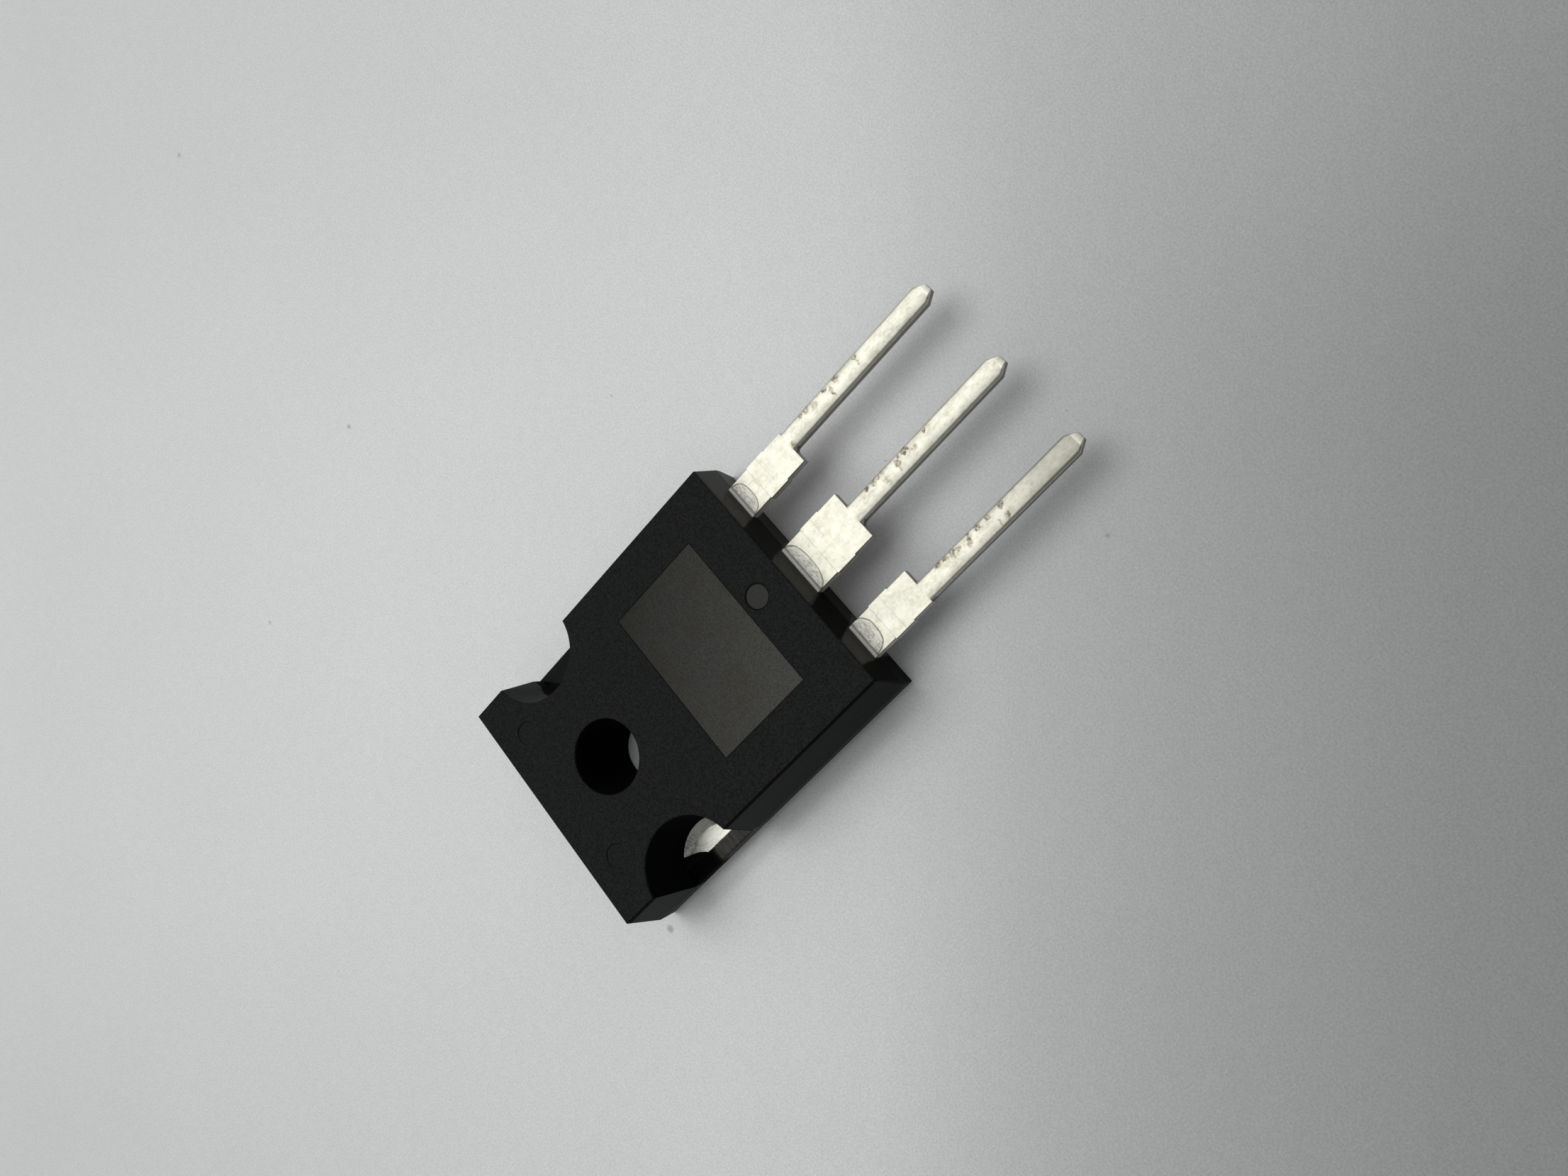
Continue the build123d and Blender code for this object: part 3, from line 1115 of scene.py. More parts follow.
        # Painted shade towards the tip, weaker on the facet.
        if self.tip_shade_strength:
            tip_shade = y.ease(*self.tip_shade_span) * (1.0 - self.facet * 0.6) * self.tip_shade_strength
            colour = bench.mix(tip_shade, colour, self.tip_shade)
        return colour, stained

    def _walls(self, colour: Wire) -> Wire:
        """Add the cut side walls with painted shade and light: a dark line under the wide part's
        top edge, a darker lower side on the narrow part, shaded webs at the shoulders and a
        lighter coined bevel; the walls are lighter near the root.

        Args:
            colour: The colour so far.

        Returns:
            The colour.
        """
        bench = self.bench
        _, y, z = bench.axes
        under = z - SIZES.lead_top
        narrow = 1.0 - self.wide
        # Painted shade: the webs at the shoulders, a line under the wide part's top edge and the
        # lower side of the narrow part are darkened.
        web = y.within(SIZES.shoulder - 0.3, SIZES.shoulder, 0.005) * under.ease(-0.08, -0.10)
        wall_shade = under.within(-0.105, -0.015, 0.015) * self.wide
        low_side_shade = under.ease(-0.15, -0.21) * narrow
        wall_shade = wall_shade.high(low_side_shade * (0.62 + under.within(-0.29, -0.20, 0.02) * 0.2))
        # Painted light on the coined bevel; the walls are also lighter near the root.
        near_root = y.ease(SIZES.lead_end - 1.50, SIZES.lead_end - 1.40)
        bevel = under.ease(-0.20, -0.10) * narrow
        light = (0.5 + self.flecks) * (1.0 + near_root * 0.6 + bevel * 0.35)
        wall = bench.mix(wall_shade.high(web * 0.9) * 0.85, bench.shade(self.cut, light), self.wall_shade)
        return bench.mix((1.0 - self.upward).high(web) * 0.95, colour, wall)

    def paint(self) -> tuple[Wire, Wire, Wire]:
        """Build the plating.

        Returns:
            Colour, roughness and normal.
        """
        bench = self.bench
        y, cloud, flecks = bench.axes[1], self.cloud, self.flecks
        colour = self._plating()
        near = abs(y - self.near_mark).ease(0.03, 0.008) * flecks.ease(0.30, 0.45)
        skew = y - self.far_mark + (cloud - 0.5) * 0.12
        far = abs(skew).ease(0.028, 0.006) * cloud.ease(0.40, 0.52)
        lines = (near * 0.34).high(far * 0.26) * self.upward
        colour = self._scratched(bench.mix(lines, colour, self.tool_grey))
        pitted = bench.noise(1.0, 4.0, 0.7, (4.5, 9.0, 4.5))
        colour, mark, band = self._root(colour, pitted)
        colour, stained = self._stained(colour)
        colour = self._walls(colour)

        rough = 0.56 + (cloud - 0.5) * 0.14 + mark * 0.04 + stained * 0.2
        waves = bench.noise(1.8, 3.0, 0.55)
        relief = waves * 0.5 + pitted * mark * 0.3 + flecks * 0.25 - lines * 0.4 - band * 0.3
        return colour, rough, bench.bump(relief, 0.020)

    def fill(self) -> None:
        """Fill the material's node tree."""
        bench = self.bench
        colour, rough, normal = self.paint()
        bench.surface(Base_Color=colour, Roughness=rough, Normal=normal, Metallic=self.metallic)


@dataclass(frozen=True)
class SpreaderFinish(TinFinish):
    """Plating of the heat spreader, its ears and its back, and of the middle lead."""

    ramp_start: float = 1.9
    ear_start: float = 4.9
    shade_sheet_line: tuple[tuple[float, float, float], ...] = (
        (-6.17, 2.0, 2.7), (-6.5, 1.11, 1.31), (-6.89, 0.58, 0.0),
    )
    shade_patch_line: tuple[float, float, float] = (6.69, 1.78, 0.95)
    back_tin: Colour = (0.80, 0.79, 0.74)
    floor_tin: Colour = (0.84, 0.84, 0.76)
    trimmed: Colour = (0.088, 0.085, 0.076)
    shade_sheet: Colour = (0.0003, 0.0003, 0.0003)
    grey_cover: Colour = (0.0125, 0.0145, 0.0138)

    def _shade_sheet_and_cover(self, strip: Wire) -> tuple[Wire, Wire]:
        """Black sheet of painted shade on the ears, and a dark grey cover over the right ear.

        Args:
            strip: The trimmed strip.

        Returns:
            The black sheet of painted shade, and the dark grey cover over the whole right ear.
        """
        bench = self.bench
        x, y, _ = bench.axes
        # These lines bound the black sheet of painted shade on the left ear.
        edge, *others = ((x - at_x) * slope + at_y for at_x, at_y, slope in self.shade_sheet_line)
        for line in others:
            edge = edge.high(line)
        ragged = (bench.noise(2.4, 4.0, 0.65) - 0.5) * 0.34 * x.ease(-6.3, -6.6)
        streaks = bench.noise(1.0, 3.0, 0.7, (1.0, 9.0, 1.0)) - 0.5
        depth = y - edge + ragged * (1.0 - strip)
        left = depth.ease(-0.015, 0.02) * (1.0 - strip)
        left = left + (depth + streaks * 0.9).ease(-0.55, 0.02) * strip
        # This line bounds the black sheet of painted shade on the right ear.
        at_x, at_y, slope = self.shade_patch_line
        right = (y - (x - at_x) * slope - at_y + streaks * 0.1).ease(-0.02, 0.03)
        on_right = x.ease(-1.0, 1.0)
        return left * (1.0 - on_right) + right * on_right, on_right

    def fill(self) -> None:
        """Fill the material's node tree."""
        bench = self.bench
        colour, rough, normal = self.paint()
        x, y, z = bench.axes
        spreader = y.ease(-14.2, -14.0)
        lay = bench.noise(1.0, 4.0, 0.65, (0.5, 11.0, 1.0))
        cloud = bench.noise(0.7, 4.0, 0.6)
        pits = bench.noise(6.0, 3.0, 0.65)
        plate = bench.shade(self.back_tin, 0.80 + lay * 0.16 + cloud * 0.14 + pits * 0.10)

        above = z.ease(0.03, 0.08)
        ear = abs(x).ease(self.ear_start - 0.05, self.ear_start + 0.05) * above
        waves = bench.noise(1.0, 3.0, 0.6, (6.0, 1.5, 1.0))
        dim = waves.ease(0.40, 0.70) * 0.22 + pits.ease(0.42, 0.62) * y.ease(0.0, 1.2) * 0.35
        reach = bench.distance((-SIZES.half_width, 0.0, 0.0), upright=True)
        ramp = reach.ease(self.ramp_start - 0.02, self.ramp_start + 0.03) * z.ease(1.2, 1.3)
        # Painted shade on the ramp of the left notch, deeper towards -Y.
        dim = dim + ramp * (0.20 + y.ease(-0.4, -0.9) * 0.2)
        plate = bench.mix(ear, plate, bench.shade(self.floor_tin, 1.0 - dim))

        streak = bench.noise(1.0, 3.0, 0.7, (1.2, 12.0, 1.2))
        edge = abs(x) + (pits - 0.5) * 0.10
        strip = edge.ease(SIZES.trim_start - 0.03, SIZES.trim_start + 0.03) * above
        shade_sheet, grey_cover = self._shade_sheet_and_cover(strip)
        shade_sheet = shade_sheet * ear
        grey_cover = grey_cover * ear.high(strip)
        torn = bench.shade(self.trimmed, 0.55 + streak.ease(0.3, 0.75) * 0.7)
        plate = bench.mix(strip, plate, torn)
        plate = bench.mix(grey_cover, plate, bench.shade(self.grey_cover, 0.7 + streak * 0.6))
        # Painted shade: a black, non-metallic sheet where the ears lie in shade.
        plate = bench.mix(shade_sheet, plate, self.shade_sheet)

        back = z.ease(0.5, 0.1)
        covered = shade_sheet.high(grey_cover)
        plate_rough = 0.34 + back * 0.04 + pits * 0.12 + strip * 0.2 + covered * 0.3
        dents = bench.bump(pits * 0.6 + lay * back * 0.4 + streak * strip * 0.6, 0.006)
        normal = bench.node(
            "ShaderNodeMix", {"data_type": "VECTOR"}, {0: spreader, 4: normal, 5: dents}, 1
        )
        bench.surface(
            Base_Color=bench.mix(spreader, colour, plate), Normal=normal,
            Roughness=rough * (1.0 - spreader) + plate_rough * spreader,
            Metallic=(1.0 - covered * spreader) * self.metallic, Specular_IOR_Level=0.08,
        )


@dataclass(frozen=True)
class InnerFinish(Finish):
    """Finish of a piece sealed inside the moulding."""

    light: Colour
    dark: Colour
    metallic: float
    roughness: float
    scale: float

    def fill(self) -> None:
        """Fill the material's node tree."""
        bench = self.bench
        cloud = bench.noise(self.scale, 4.0, 0.6)
        grain = bench.noise(self.scale * 8, 2.0, 0.6)
        bench.surface(
            Base_Color=bench.mix(cloud.ease(0.3, 0.7), self.dark, self.light),
            Roughness=self.roughness + grain * 0.15, Normal=bench.bump(grain, 0.004),
            Metallic=self.metallic,
        )


@dataclass(frozen=True)
class PaperFinish(Finish):
    """Smooth pale board that the part lies on, darker towards one side as painted falloff of the
    light.
    """

    name: str = "paper_board_finish"
    pale: Colour = (0.863, 0.881, 0.884)
    fleck: Colour = (0.30, 0.30, 0.28)
    away: tuple[float, float] = (-0.687, -0.727)
    reach: tuple[float, float] = (-60.0, 60.0)
    falloff_tones: tuple[tuple[float, float], ...] = (
        (-56.0, 0.929), (-31.0, 0.966), (-11.5, 0.987), (4.6, 0.996), (10.0, 0.982),
        (14.0, 0.942), (18.0, 0.845), (22.0, 0.740), (29.0, 0.618), (40.0, 0.465), (55.0, 0.335),
    )
    light_pool_centre: Point = (8.0, -4.0, 0.0)
    light_pool_reach: float = 44.0
    specks: tuple[tuple[float, float, float, float], ...] = (
        (-8.25, 6.32, 0.22, 0.55), (-9.29, -26.62, 0.13, 0.5), (17.1, -11.98, 0.10, 0.3),
        (1.73, -21.21, 0.05, 0.7), (31.2, 3.5, 0.16, 0.5), (26.6, 17.8, 0.14, 0.4),
        (58.3, 1.3, 0.2, 0.4), (-3.4, -29.5, 0.07, 0.35),
    )

    def _light(self) -> Wire:
        """Slow changes of the light: brighter fields and the soft shade at the part.

        Returns:
            The factor on the tone.
        """
        bench = self.bench
        x, y, _ = bench.axes
        away = x * self.away[0] + y * self.away[1]
        across = x * self.away[1] - y * self.away[0]
        between = y.ease(-22.5, -16.5) * y.ease(-12.0, -14.0) * x.within(-6.5, 6.0, 1.2)
        beside = x.ease(-9.5, -8.5) * x.ease(-5.0, -7.5) * y.within(-13.0, 4.0, 1.5)
        left = away.ease(0.0, -40.0) * across.ease(-52.0, -18.0) * across.ease(34.0, 8.0)
        corner = away.ease(12.0, 38.0) * across.ease(-14.0, -38.0)
        shade = (1.0 - between * 0.32) * (1.0 - beside * 0.20)
        return shade * (1.0 + left * 0.07 + corner * 0.21)

    def fill(self) -> None:
        """Fill the material's node tree."""
        bench = self.bench
        x, y, _ = bench.axes
        # Painted light: the board darkens towards one side as the light falls off, and a pool of
        # light is painted near the part.
        low, high = self.reach
        along = (x * self.away[0] + y * self.away[1] - low) * (1.0 / (high - low))
        stops = [((place - low) / (high - low), (tone, tone, tone)) for place, tone in self.falloff_tones]
        fall = bench.node("ShaderNodeValToRGB", {"stops": stops}, {"Fac": along})
        fibre = bench.noise(1.3, 4.0, 0.7)
        tooth = bench.noise(9.0, 2.0, 0.6)
        cloud = bench.noise(0.12)
        light_pool = bench.distance(self.light_pool_centre).ease(self.light_pool_reach, 5.0) * 0.085
        tone = 0.655 + fibre * 0.10 + tooth * 0.54 + cloud * 0.04 + light_pool
        colour = bench.shade(bench.shade(self.pale, fall), tone * self._light())
        for speck_x, speck_y, size, depth in self.specks:
            spot = bench.blob((speck_x, speck_y, 0.0), (size, size * 0.8, 9.0), 0.6)
            colour = bench.mix(spot * depth, colour, self.fleck)
        bench.surface(Base_Color=colour, Roughness=0.85, Normal=bench.bump(fibre, 0.03),
                      Specular_IOR_Level=0.2)


# ------------------------------------------------------------------------ sub-assemblies
@dataclass
class Openings:
    """Mounting hole and side notches: the shapes that are cut away."""

    hole_mouth_radius: float = 2.07
    hole_straight: float = 2.0
    notch_foot: float = 2.45
    notch_mouth: float = 2.93
    floor: float = 1.25
    floor_radius: float = 1.9
    trim_edge: float = 7.65
    trim_drop: float = 0.10
    roll_drop: float = 0.30
    rim: float = 0.04
    beyond: float = 1.0
    spread: float = 1.05
    flare_axis: float = 9.114
    flare_foot: float = 3.156
    flare_mouth: float = 3.39

    def _turn_up(self, peg: Workpiece, centre: tuple[float, float],
                 rings: tuple[tuple[float, float], ...]) -> Workpiece:
        """Extrude a peg's top through rings of other radii.

        Args:
            peg: The peg.
            centre: The peg's axis.
            rings: Height and radius of the peg's present top and of each new ring.

        Returns:
            The peg.
        """
        peg.open()
        for (level, radius), (top, wider) in zip(rings, rings[1:]):
            peg.pull(lambda f: f.normal.z > FACING and at(f.calc_center_median().z, level),
                     (0, 0, top - level))
            growth = wider / radius
            peg.stretch(lambda v: at(v.co.z, top), (growth, growth, 1), (*centre, top))
        peg.close()
        return peg

    def _mouth(self, foot: tuple[float, float],
               radius: float) -> tuple[tuple[float, float], ...]:
        """Rings from a foot to a softened rim in the marked face.

        Args:
            foot: Height and radius where the leaning wall starts.
            radius: The opening's radius in the marked face, before the rim is softened.

        Returns:
            Height and radius of each ring.
        """
        level, start = foot
        share = self.rim / (SIZES.thickness - level)
        neck = radius - (radius - start) * share
        return (foot, (SIZES.thickness - self.rim, neck),
                (SIZES.thickness - self.rim * 0.3, neck + self.rim * 0.3),
                (SIZES.thickness + self.rim, neck + self.rim * 2.2),
                (SIZES.thickness + self.beyond, neck + self.rim * 2.2))

    def hole(self) -> Workpiece:
        """Model the cutter for the mounting hole, wider towards the marked face.

        Returns:
            The cutter.
        """
        foot = (self.hole_straight, SIZES.hole_radius)
        pin = Workpiece.peg("hole_cutter", SIZES.hole_radius, -self.beyond, self.hole_straight,
                            (0, 0), sides=128)
        return self._turn_up(pin, (0, 0), self._mouth(foot, self.hole_mouth_radius))

    def notch(self, side: int) -> Workpiece:
        """Model the cutter for one side notch of the moulding, open at the back.

        Args:
            side: -1 or 1, the side along X.

        Returns:
            The cutter.
        """
        centre = (side * SIZES.half_width, 0)
        foot = (SIZES.side_ridge, self.notch_foot)
        pin = Workpiece.peg("notch_cutter", self.notch_foot, -self.beyond, SIZES.side_ridge,
                            centre, sides=144)
        return self._turn_up(pin, centre, self._mouth(foot, self.notch_mouth))

    def _flare_bound(self) -> Workpiece:
        """Model the plan of the right notch's flare.

        Returns:
            The bound.
        """
        top = SIZES.side_ridge + self.beyond + self.rim
        return Workpiece.peg("flare_bound", self.flare_foot, -self.rim, top,
                             (self.flare_axis, 0), sides=144)

    def flare_floor(self) -> Workpiece:
        """Cutter that carries the right ear's trimmed strip on under the flare."""
        return self._trimmed(1).common(self._flare_bound())

    def flare(self) -> Workpiece:
        """Model the cutter that opens the right notch further out, above the ear.

        Returns:
            The cutter.
        """
        foot = SIZES.side_ridge - self.rim / 2
        top = SIZES.thickness + self.beyond
        rise = (self.flare_mouth - self.flare_foot) / (SIZES.thickness - SIZES.side_ridge)
        wider = self.flare_foot + rise * (top - SIZES.side_ridge)
        pin = Workpiece.peg("flare_cutter", self.flare_foot, foot, top, (self.flare_axis, 0),
                            sides=144)
        pin.open()
        growth = wider / self.flare_foot
        pin.stretch(lambda v: at(v.co.z, top), (growth, growth, 1), (self.flare_axis, 0, top))
        pin.close()
        return pin

    def ear_room(self, side: int) -> tuple[Workpiece, Workpiece]:
        """Model the cutters for the room above one ear.

        Args:
            side: -1 or 1, the side along X.

        Returns:
            One cutter for the floor and its ramp, and one for the trimmed strip.
        """
        centre = (side * SIZES.half_width, 0)
        pin = Workpiece.peg("ear_cutter", self.floor_radius, self.floor,
                            self.floor + self.beyond / 2, centre, sides=144)
        foot_growth = self.notch_foot / self.floor_radius
        pin.open()
        pin.stretch(lambda v: v.co.z > self.floor + CLOSE, (foot_growth, foot_growth, 1),
                    (*centre, 0))
        drop = SIZES.side_ridge - self.floor - self.beyond / 2
        pin.shift(lambda v: v.co.z > self.floor + CLOSE, (0, 0, drop))
        pin.close()
        top = SIZES.side_ridge + self.beyond
        self._turn_up(pin, centre, ((SIZES.side_ridge, self.notch_foot),
                                    (top, self.notch_foot * self.spread)))

        bound = Workpiece.peg("trim_bound", self.notch_foot, 0.0, top, centre, sides=144)
        if side > 0:
            bound.fuse(self._flare_bound())
        return pin, self._trimmed(side).common(bound)

    def _trimmed(self, side: int) -> Workpiece:
        """Room above the trimmed and rolled outer strip of one ear, as long as the notch.

        Args:
            side: -1 or 1, the side along X.

        Returns:
            The cutter, still with straight ends.
        """
        reach = SIZES.half_width + self.beyond
        low_x, high_x = sorted((side * SIZES.trim_start, side * reach))
        strip = Workpiece.block("trim_cutter", (low_x, -self.notch_mouth, self.floor),
                                (high_x, self.notch_mouth, SIZES.side_ridge + self.beyond / 2))
        strip.open()
        edge, end = self.trim_edge, SIZES.half_width
        for place in (edge, end):
            strip.cut((side * place, 0, 0), (1, 0, 0))
        drops = ((edge, self.trim_drop), (end, self.roll_drop), (reach, self.roll_drop))
        for place, drop in drops:
            strip.shift(lambda v, p=place: at(v.co.z, self.floor) and at(abs(v.co.x), p),
                        (0, 0, -drop))
        strip.close()
        return strip


@dataclass
class Lead:
    """One flat lead: wide root with trimmed tie-bar stubs, coined narrow part and tip."""

    name: str
    axis: float
    wide_low: float
    wide_high: float
    inside: float = 1.1
    overlap: float = 0.4
    length: float = 14.75
    width: float = 1.2
    tip_width: float = 0.48
    taper: float = 0.62
    facet: float = 0.36
    facet_drop: float = 0.11
    tip_rounding: float = 0.03
    coined: float = 0.17
    hidden_gap: float = 0.004
    stub_near: float = 1.45
    stub_far: float = 2.8
    stub_height: float = 0.06
    fillet: float = 0.22
    web_overlap: float = 0.12
    web_drop: float = 0.11
    edge: float = 0.022
    root_mark_depth: float = 0.014
    root_centre: float = 0.0
    root_half_width: float = 0.95
    root_reach: float = 0.66

    def _wide_part(self) -> Workpiece:
        """Model the wide root with its stubs.

        Returns:
            The wide part.
        """
        wide = Workpiece.block(
            self.name, (self.wide_low, SIZES.shoulder, SIZES.end_ridge),
            (self.wide_high, SIZES.lead_end + self.inside, SIZES.lead_top),
        )
        near, far = SIZES.lead_end - self.stub_near, SIZES.lead_end - self.stub_far
        wide.open()
        for place in (near, far):
            wide.cut((0, place, 0), (0, 1, 0))
        for side in (-1, 1):
            wide.pull(
                lambda f, s=side: f.normal.x * s > FACING
                and far < f.calc_center_median().y < near,
                (side * self.stub_height, 0, 0),
            )
        wide.close()
        return wide

    def _narrow_part(self) -> Workpiece:
        """Model the coined narrow part with its tapered, swaged tip.

        Returns:
            The narrow part.
        """
        half = self.width / 2
        taper_start = SIZES.lead_end - self.length + self.taper
        narrow = Workpiece.block(
            "narrow_part",
            (self.axis - half, taper_start, SIZES.end_ridge),
            (self.axis + half, SIZES.shoulder + self.overlap, SIZES.lead_top),
        )
        tip = taper_start - self.taper
        narrow.open()
        narrow.soften(
            lambda e: all(at(v.co.z, SIZES.lead_top) for v in e.verts)
            and at(e.verts[0].co.x, e.verts[1].co.x), self.coined, 6,
        )
        narrow.pull(lambda f: f.normal.y < -FACING, (0, -self.taper, 0))
        slim = self.tip_width / self.width
        narrow.stretch(lambda v: v.co.y < tip + CLOSE, (slim, 1, 1), (self.axis, tip, 0))
        narrow.cut((0, tip + self.facet, 0), (0, 1, 0))
        flat = (SIZES.lead_thick - self.facet_drop) / SIZES.lead_thick
        narrow.stretch(lambda v: v.co.y < tip + CLOSE, (1, 1, flat), (0, tip, SIZES.end_ridge))
        narrow.soften(
            lambda e: all(v.co.y < tip + CLOSE for v in e.verts) and sharp_outer(e, 40.0),
            self.tip_rounding, 2,
        )
        narrow.close()
        return narrow

    def _fillets(self) -> list[Workpiece]:
        """Model the small rounded corners between the shoulders and the narrow part.

        Returns:
            The corners, where the shoulder leaves room for one.
        """
        made = []
        for side in (-1, 1):
            start = self.axis + side * self.width / 2
            room = side * ((self.wide_high if side > 0 else self.wide_low) - start)
            if room < self.fillet:
                continue
            low_x, high_x = sorted((start - side * self.web_overlap,
                                    start + side * self.fillet))
            web = Workpiece.block(
                "fillet", (low_x, SIZES.shoulder - self.fillet, SIZES.end_ridge + self.hidden_gap),
                (high_x, SIZES.shoulder + 0.1, SIZES.lead_top - self.web_drop),
            )
            round_cut = Workpiece.peg(
                "fillet_cutter", self.fillet, SIZES.end_ridge - 0.2, SIZES.lead_top + 0.2,
                (start + side * self.fillet, SIZES.shoulder - self.fillet), sides=48,
            )
            made.append(web.carve(round_cut))
        return made

    def _root_mark(self) -> Workpiece:
        """Model the cutter for the shallow rounded mark next to the moulding.

        Returns:
            The cutter.
        """
        centre, line, top = self.root_centre, SIZES.root_line, SIZES.lead_top
        mark = Workpiece.peg("root_mark", 1.0, top - self.root_mark_depth, top + 0.1,
                             (centre, line), sides=64)
        mark.open()
        mark.stretch(lambda v: True, (self.root_half_width, self.root_reach, 1),
                     (centre, line, top))
        mark.cut((0, line, 0), (0, 1, 0), keep_below=True)
        mark.close()
        return mark

    def shape(self) -> Workpiece:
        """Model the lead up to its root inside the moulding.

        Returns:
            The lead on the bench.
        """
        lead = self._wide_part()
        lead.fuse(self._narrow_part(), *self._fillets())
        lead.open()
        lead.tidy()
        lead.soften(self._long_top_edge, self.edge, 2)
        lead.close()
        return lead.carve(self._root_mark())

    def _long_top_edge(self, edge: bmesh.types.BMEdge) -> bool:
        """Say whether an edge is an upper one along the side of the wide part.

        Args:
            edge: The edge.

        Returns:
            True if it is.
        """
        on_top = all(at(v.co.z, SIZES.lead_top) for v in edge.verts)
        on_wide = all(v.co.y > SIZES.shoulder - CLOSE for v in edge.verts)
        aside = all(v.co.x < self.wide_low + CLOSE or v.co.x > self.wide_high - CLOSE
                    for v in edge.verts)
        return bool(on_top and on_wide and aside and sharp_outer(edge, 60.0))


@dataclass
class OuterLead(Lead):
    """An outer lead, which ends in a bond post inside the moulding."""

    wide_span: tuple[float, float] = (4.0, 6.12)
    post_span: tuple[float, float] = (3.3, 6.7)
    post_near: float = -13.6
    post_far: float = -12.3
    post_corner: float = 0.3

    @classmethod
    def on_side(cls, name: str, side: int, finish: TinFinish) -> "OuterLead":
        """Lay out the lead on one side.

        Args:
            name: The piece's name.
            side: -1 or 1, the side along X.
            finish: Its plating, which says where the root mark lies.

        Returns:
            The lead.
        """
        low, high = sorted(side * place for place in cls.wide_span)
        post_low, post_high = sorted(side * place for place in cls.post_span)
        return cls(name, side * SIZES.lead_pitch, low, high, post_span=(post_low, post_high),
                   root_centre=finish.root_centre, root_half_width=finish.root_half_width,
                   root_reach=finish.root_reach)

    def shape(self) -> Workpiece:
        """Model the lead with its bond post.

        Returns:
            The lead on the bench.
        """
        lead = super().shape()
        low, high = self.post_span
        post = Workpiece.block(
            "post", (low, self.post_near, SIZES.end_ridge + self.hidden_gap),
            (high, self.post_far, SIZES.lead_top - self.hidden_gap),
        )
        post.open()
        post.soften(lambda e: not at(e.verts[0].co.z, e.verts[1].co.z), self.post_corner, 4)
        post.close()
        return lead.fuse(post)


@dataclass
class Spreader:
    """Copper heat spreader with its ears and the middle lead."""

    openings: Openings
    lead: Lead
    half_width: float = 7.0
    far_end: float = 4.47
    near_end: float = -12.03
    thick: float = 2.0
    corner: float = 1.2
    lip: float = 0.3
    lip_height: float = 1.0
    ear_half_length: float = 2.6
    ear_foot: float = 7.72
    ring_radius: float = 3.6
    ring_depth: float = 0.8
    sleeve_radius: float = 2.7
    bend_start: float = -13.4
    bend_end: float = -12.4
    bend_reach: float = 0.97
    bend_overlap: float = 0.2
    covered_radius: float = 2.85
    cover_gap: float = 0.02
    beyond: float = 1.0
    foot: float = 0.0
    overhang: float = 0.0

    def _plate(self) -> Workpiece:
        """Model the flat plate with rounded far corners and a wider upper layer.

        Returns:
            The plate.
        """
        plate = Workpiece.block(
            "spreader_with_middle_lead", (-self.half_width, self.near_end, self.foot),
            (self.half_width, self.far_end, self.thick),
        )
        plate.open()
        plate.soften(
            lambda e: all(at(v.co.y, self.far_end) for v in e.verts)
            and at(e.verts[0].co.x, e.verts[1].co.x), self.corner, 8,
        )
        plate.cut((0, 0, self.lip_height), (0, 0, 1))
        for side in (-1, 1):
            plate.pull(
                lambda f, s=side: f.normal.x * s > 0.98
                and f.calc_center_median().z > self.lip_height,
                (side * self.lip, 0, 0),
            )
        plate.close()
        for side in (-1, 1):
            plate.carve(Workpiece.peg("cover_cutter", self.covered_radius,
                                      SIZES.side_ridge - self.cover_gap,
                                      self.thick + self.beyond, (side * SIZES.half_width, 0)))
        return plate

    def _ears(self) -> Workpiece:
        """Model the ear block across the whole package, drafted like the moulding.

        Returns:
            The ears.
        """
        reach = SIZES.half_width + self.overhang
        ears = Workpiece.block("ears", (-reach, -self.ear_half_length, self.foot),
                               (reach, self.ear_half_length, SIZES.side_ridge))
        if not self.overhang:
            ears.open()
            lean = self.ear_foot / SIZES.half_width
            ears.stretch(lambda v: at(v.co.z, 0), (lean, 1, 1), (0, 0, 0))
            ears.close()
        return ears

    def _bend(self) -> Workpiece:
        """Model the offset bend between the middle lead and the plate.

        Returns:
            The bend.
        """
        lead = self.lead
        slack = lead.hidden_gap
        bend = Workpiece.block(
            "bend",
            (lead.wide_low, self.bend_start - self.bend_overlap, SIZES.end_ridge + slack),
            (lead.wide_high, self.bend_end, SIZES.lead_top - slack),
        )
        drop = SIZES.lead_top - self.thick
        bend.open()
        bend.cut((0, self.bend_start, 0), (0, 1, 0))
        bend.shift(lambda v: at(v.co.y, self.bend_end), (0, 0, -drop))
        bend.pull(lambda f: f.normal.y > 0.6, (0, self.bend_reach, 0))
        bend.close()
        return bend

    def solid(self) -> Workpiece:
        """Plate, ears, bend and middle lead joined, without the notch details.

        Returns:
            The joined workpiece.
        """
        plate = self._plate()
        return plate.fuse(self._ears(), self._bend(), self.lead.shape())

    def blank(self) -> Workpiece:
        """Model the room the spreader takes up, open at the back and the sides.

        Returns:
            The cutter for the moulding.
        """
        blank = replace(self, foot=-self.beyond, overhang=self.beyond).solid()
        return blank.carve(*self.rings())

    def rings(self) -> tuple[Workpiece, Workpiece]:
        """Model the cutters for the moulding that comes through the plate.

        Returns:
            The ring on the back, and the sleeve around the hole.
        """
        low, high = -2 * self.beyond, self.thick + self.beyond
        return (
            Workpiece.peg("ring", self.ring_radius, -self.beyond, self.ring_depth, (0, 0),
                          sides=128),
            Workpiece.peg("sleeve", self.sleeve_radius, low, high, (0, 0), sides=112),
        )

    def shape(self) -> Workpiece:
        """Model the spreader.

        Returns:
            The spreader on the bench.
        """
        plate = self.solid()
        for side in (-1, 1):
            plate.carve(*self.openings.ear_room(side))
        plate.carve(*self.rings())
        plate.open()
        plate.weld(CLOSE / 2)
        plate.close()
        return plate


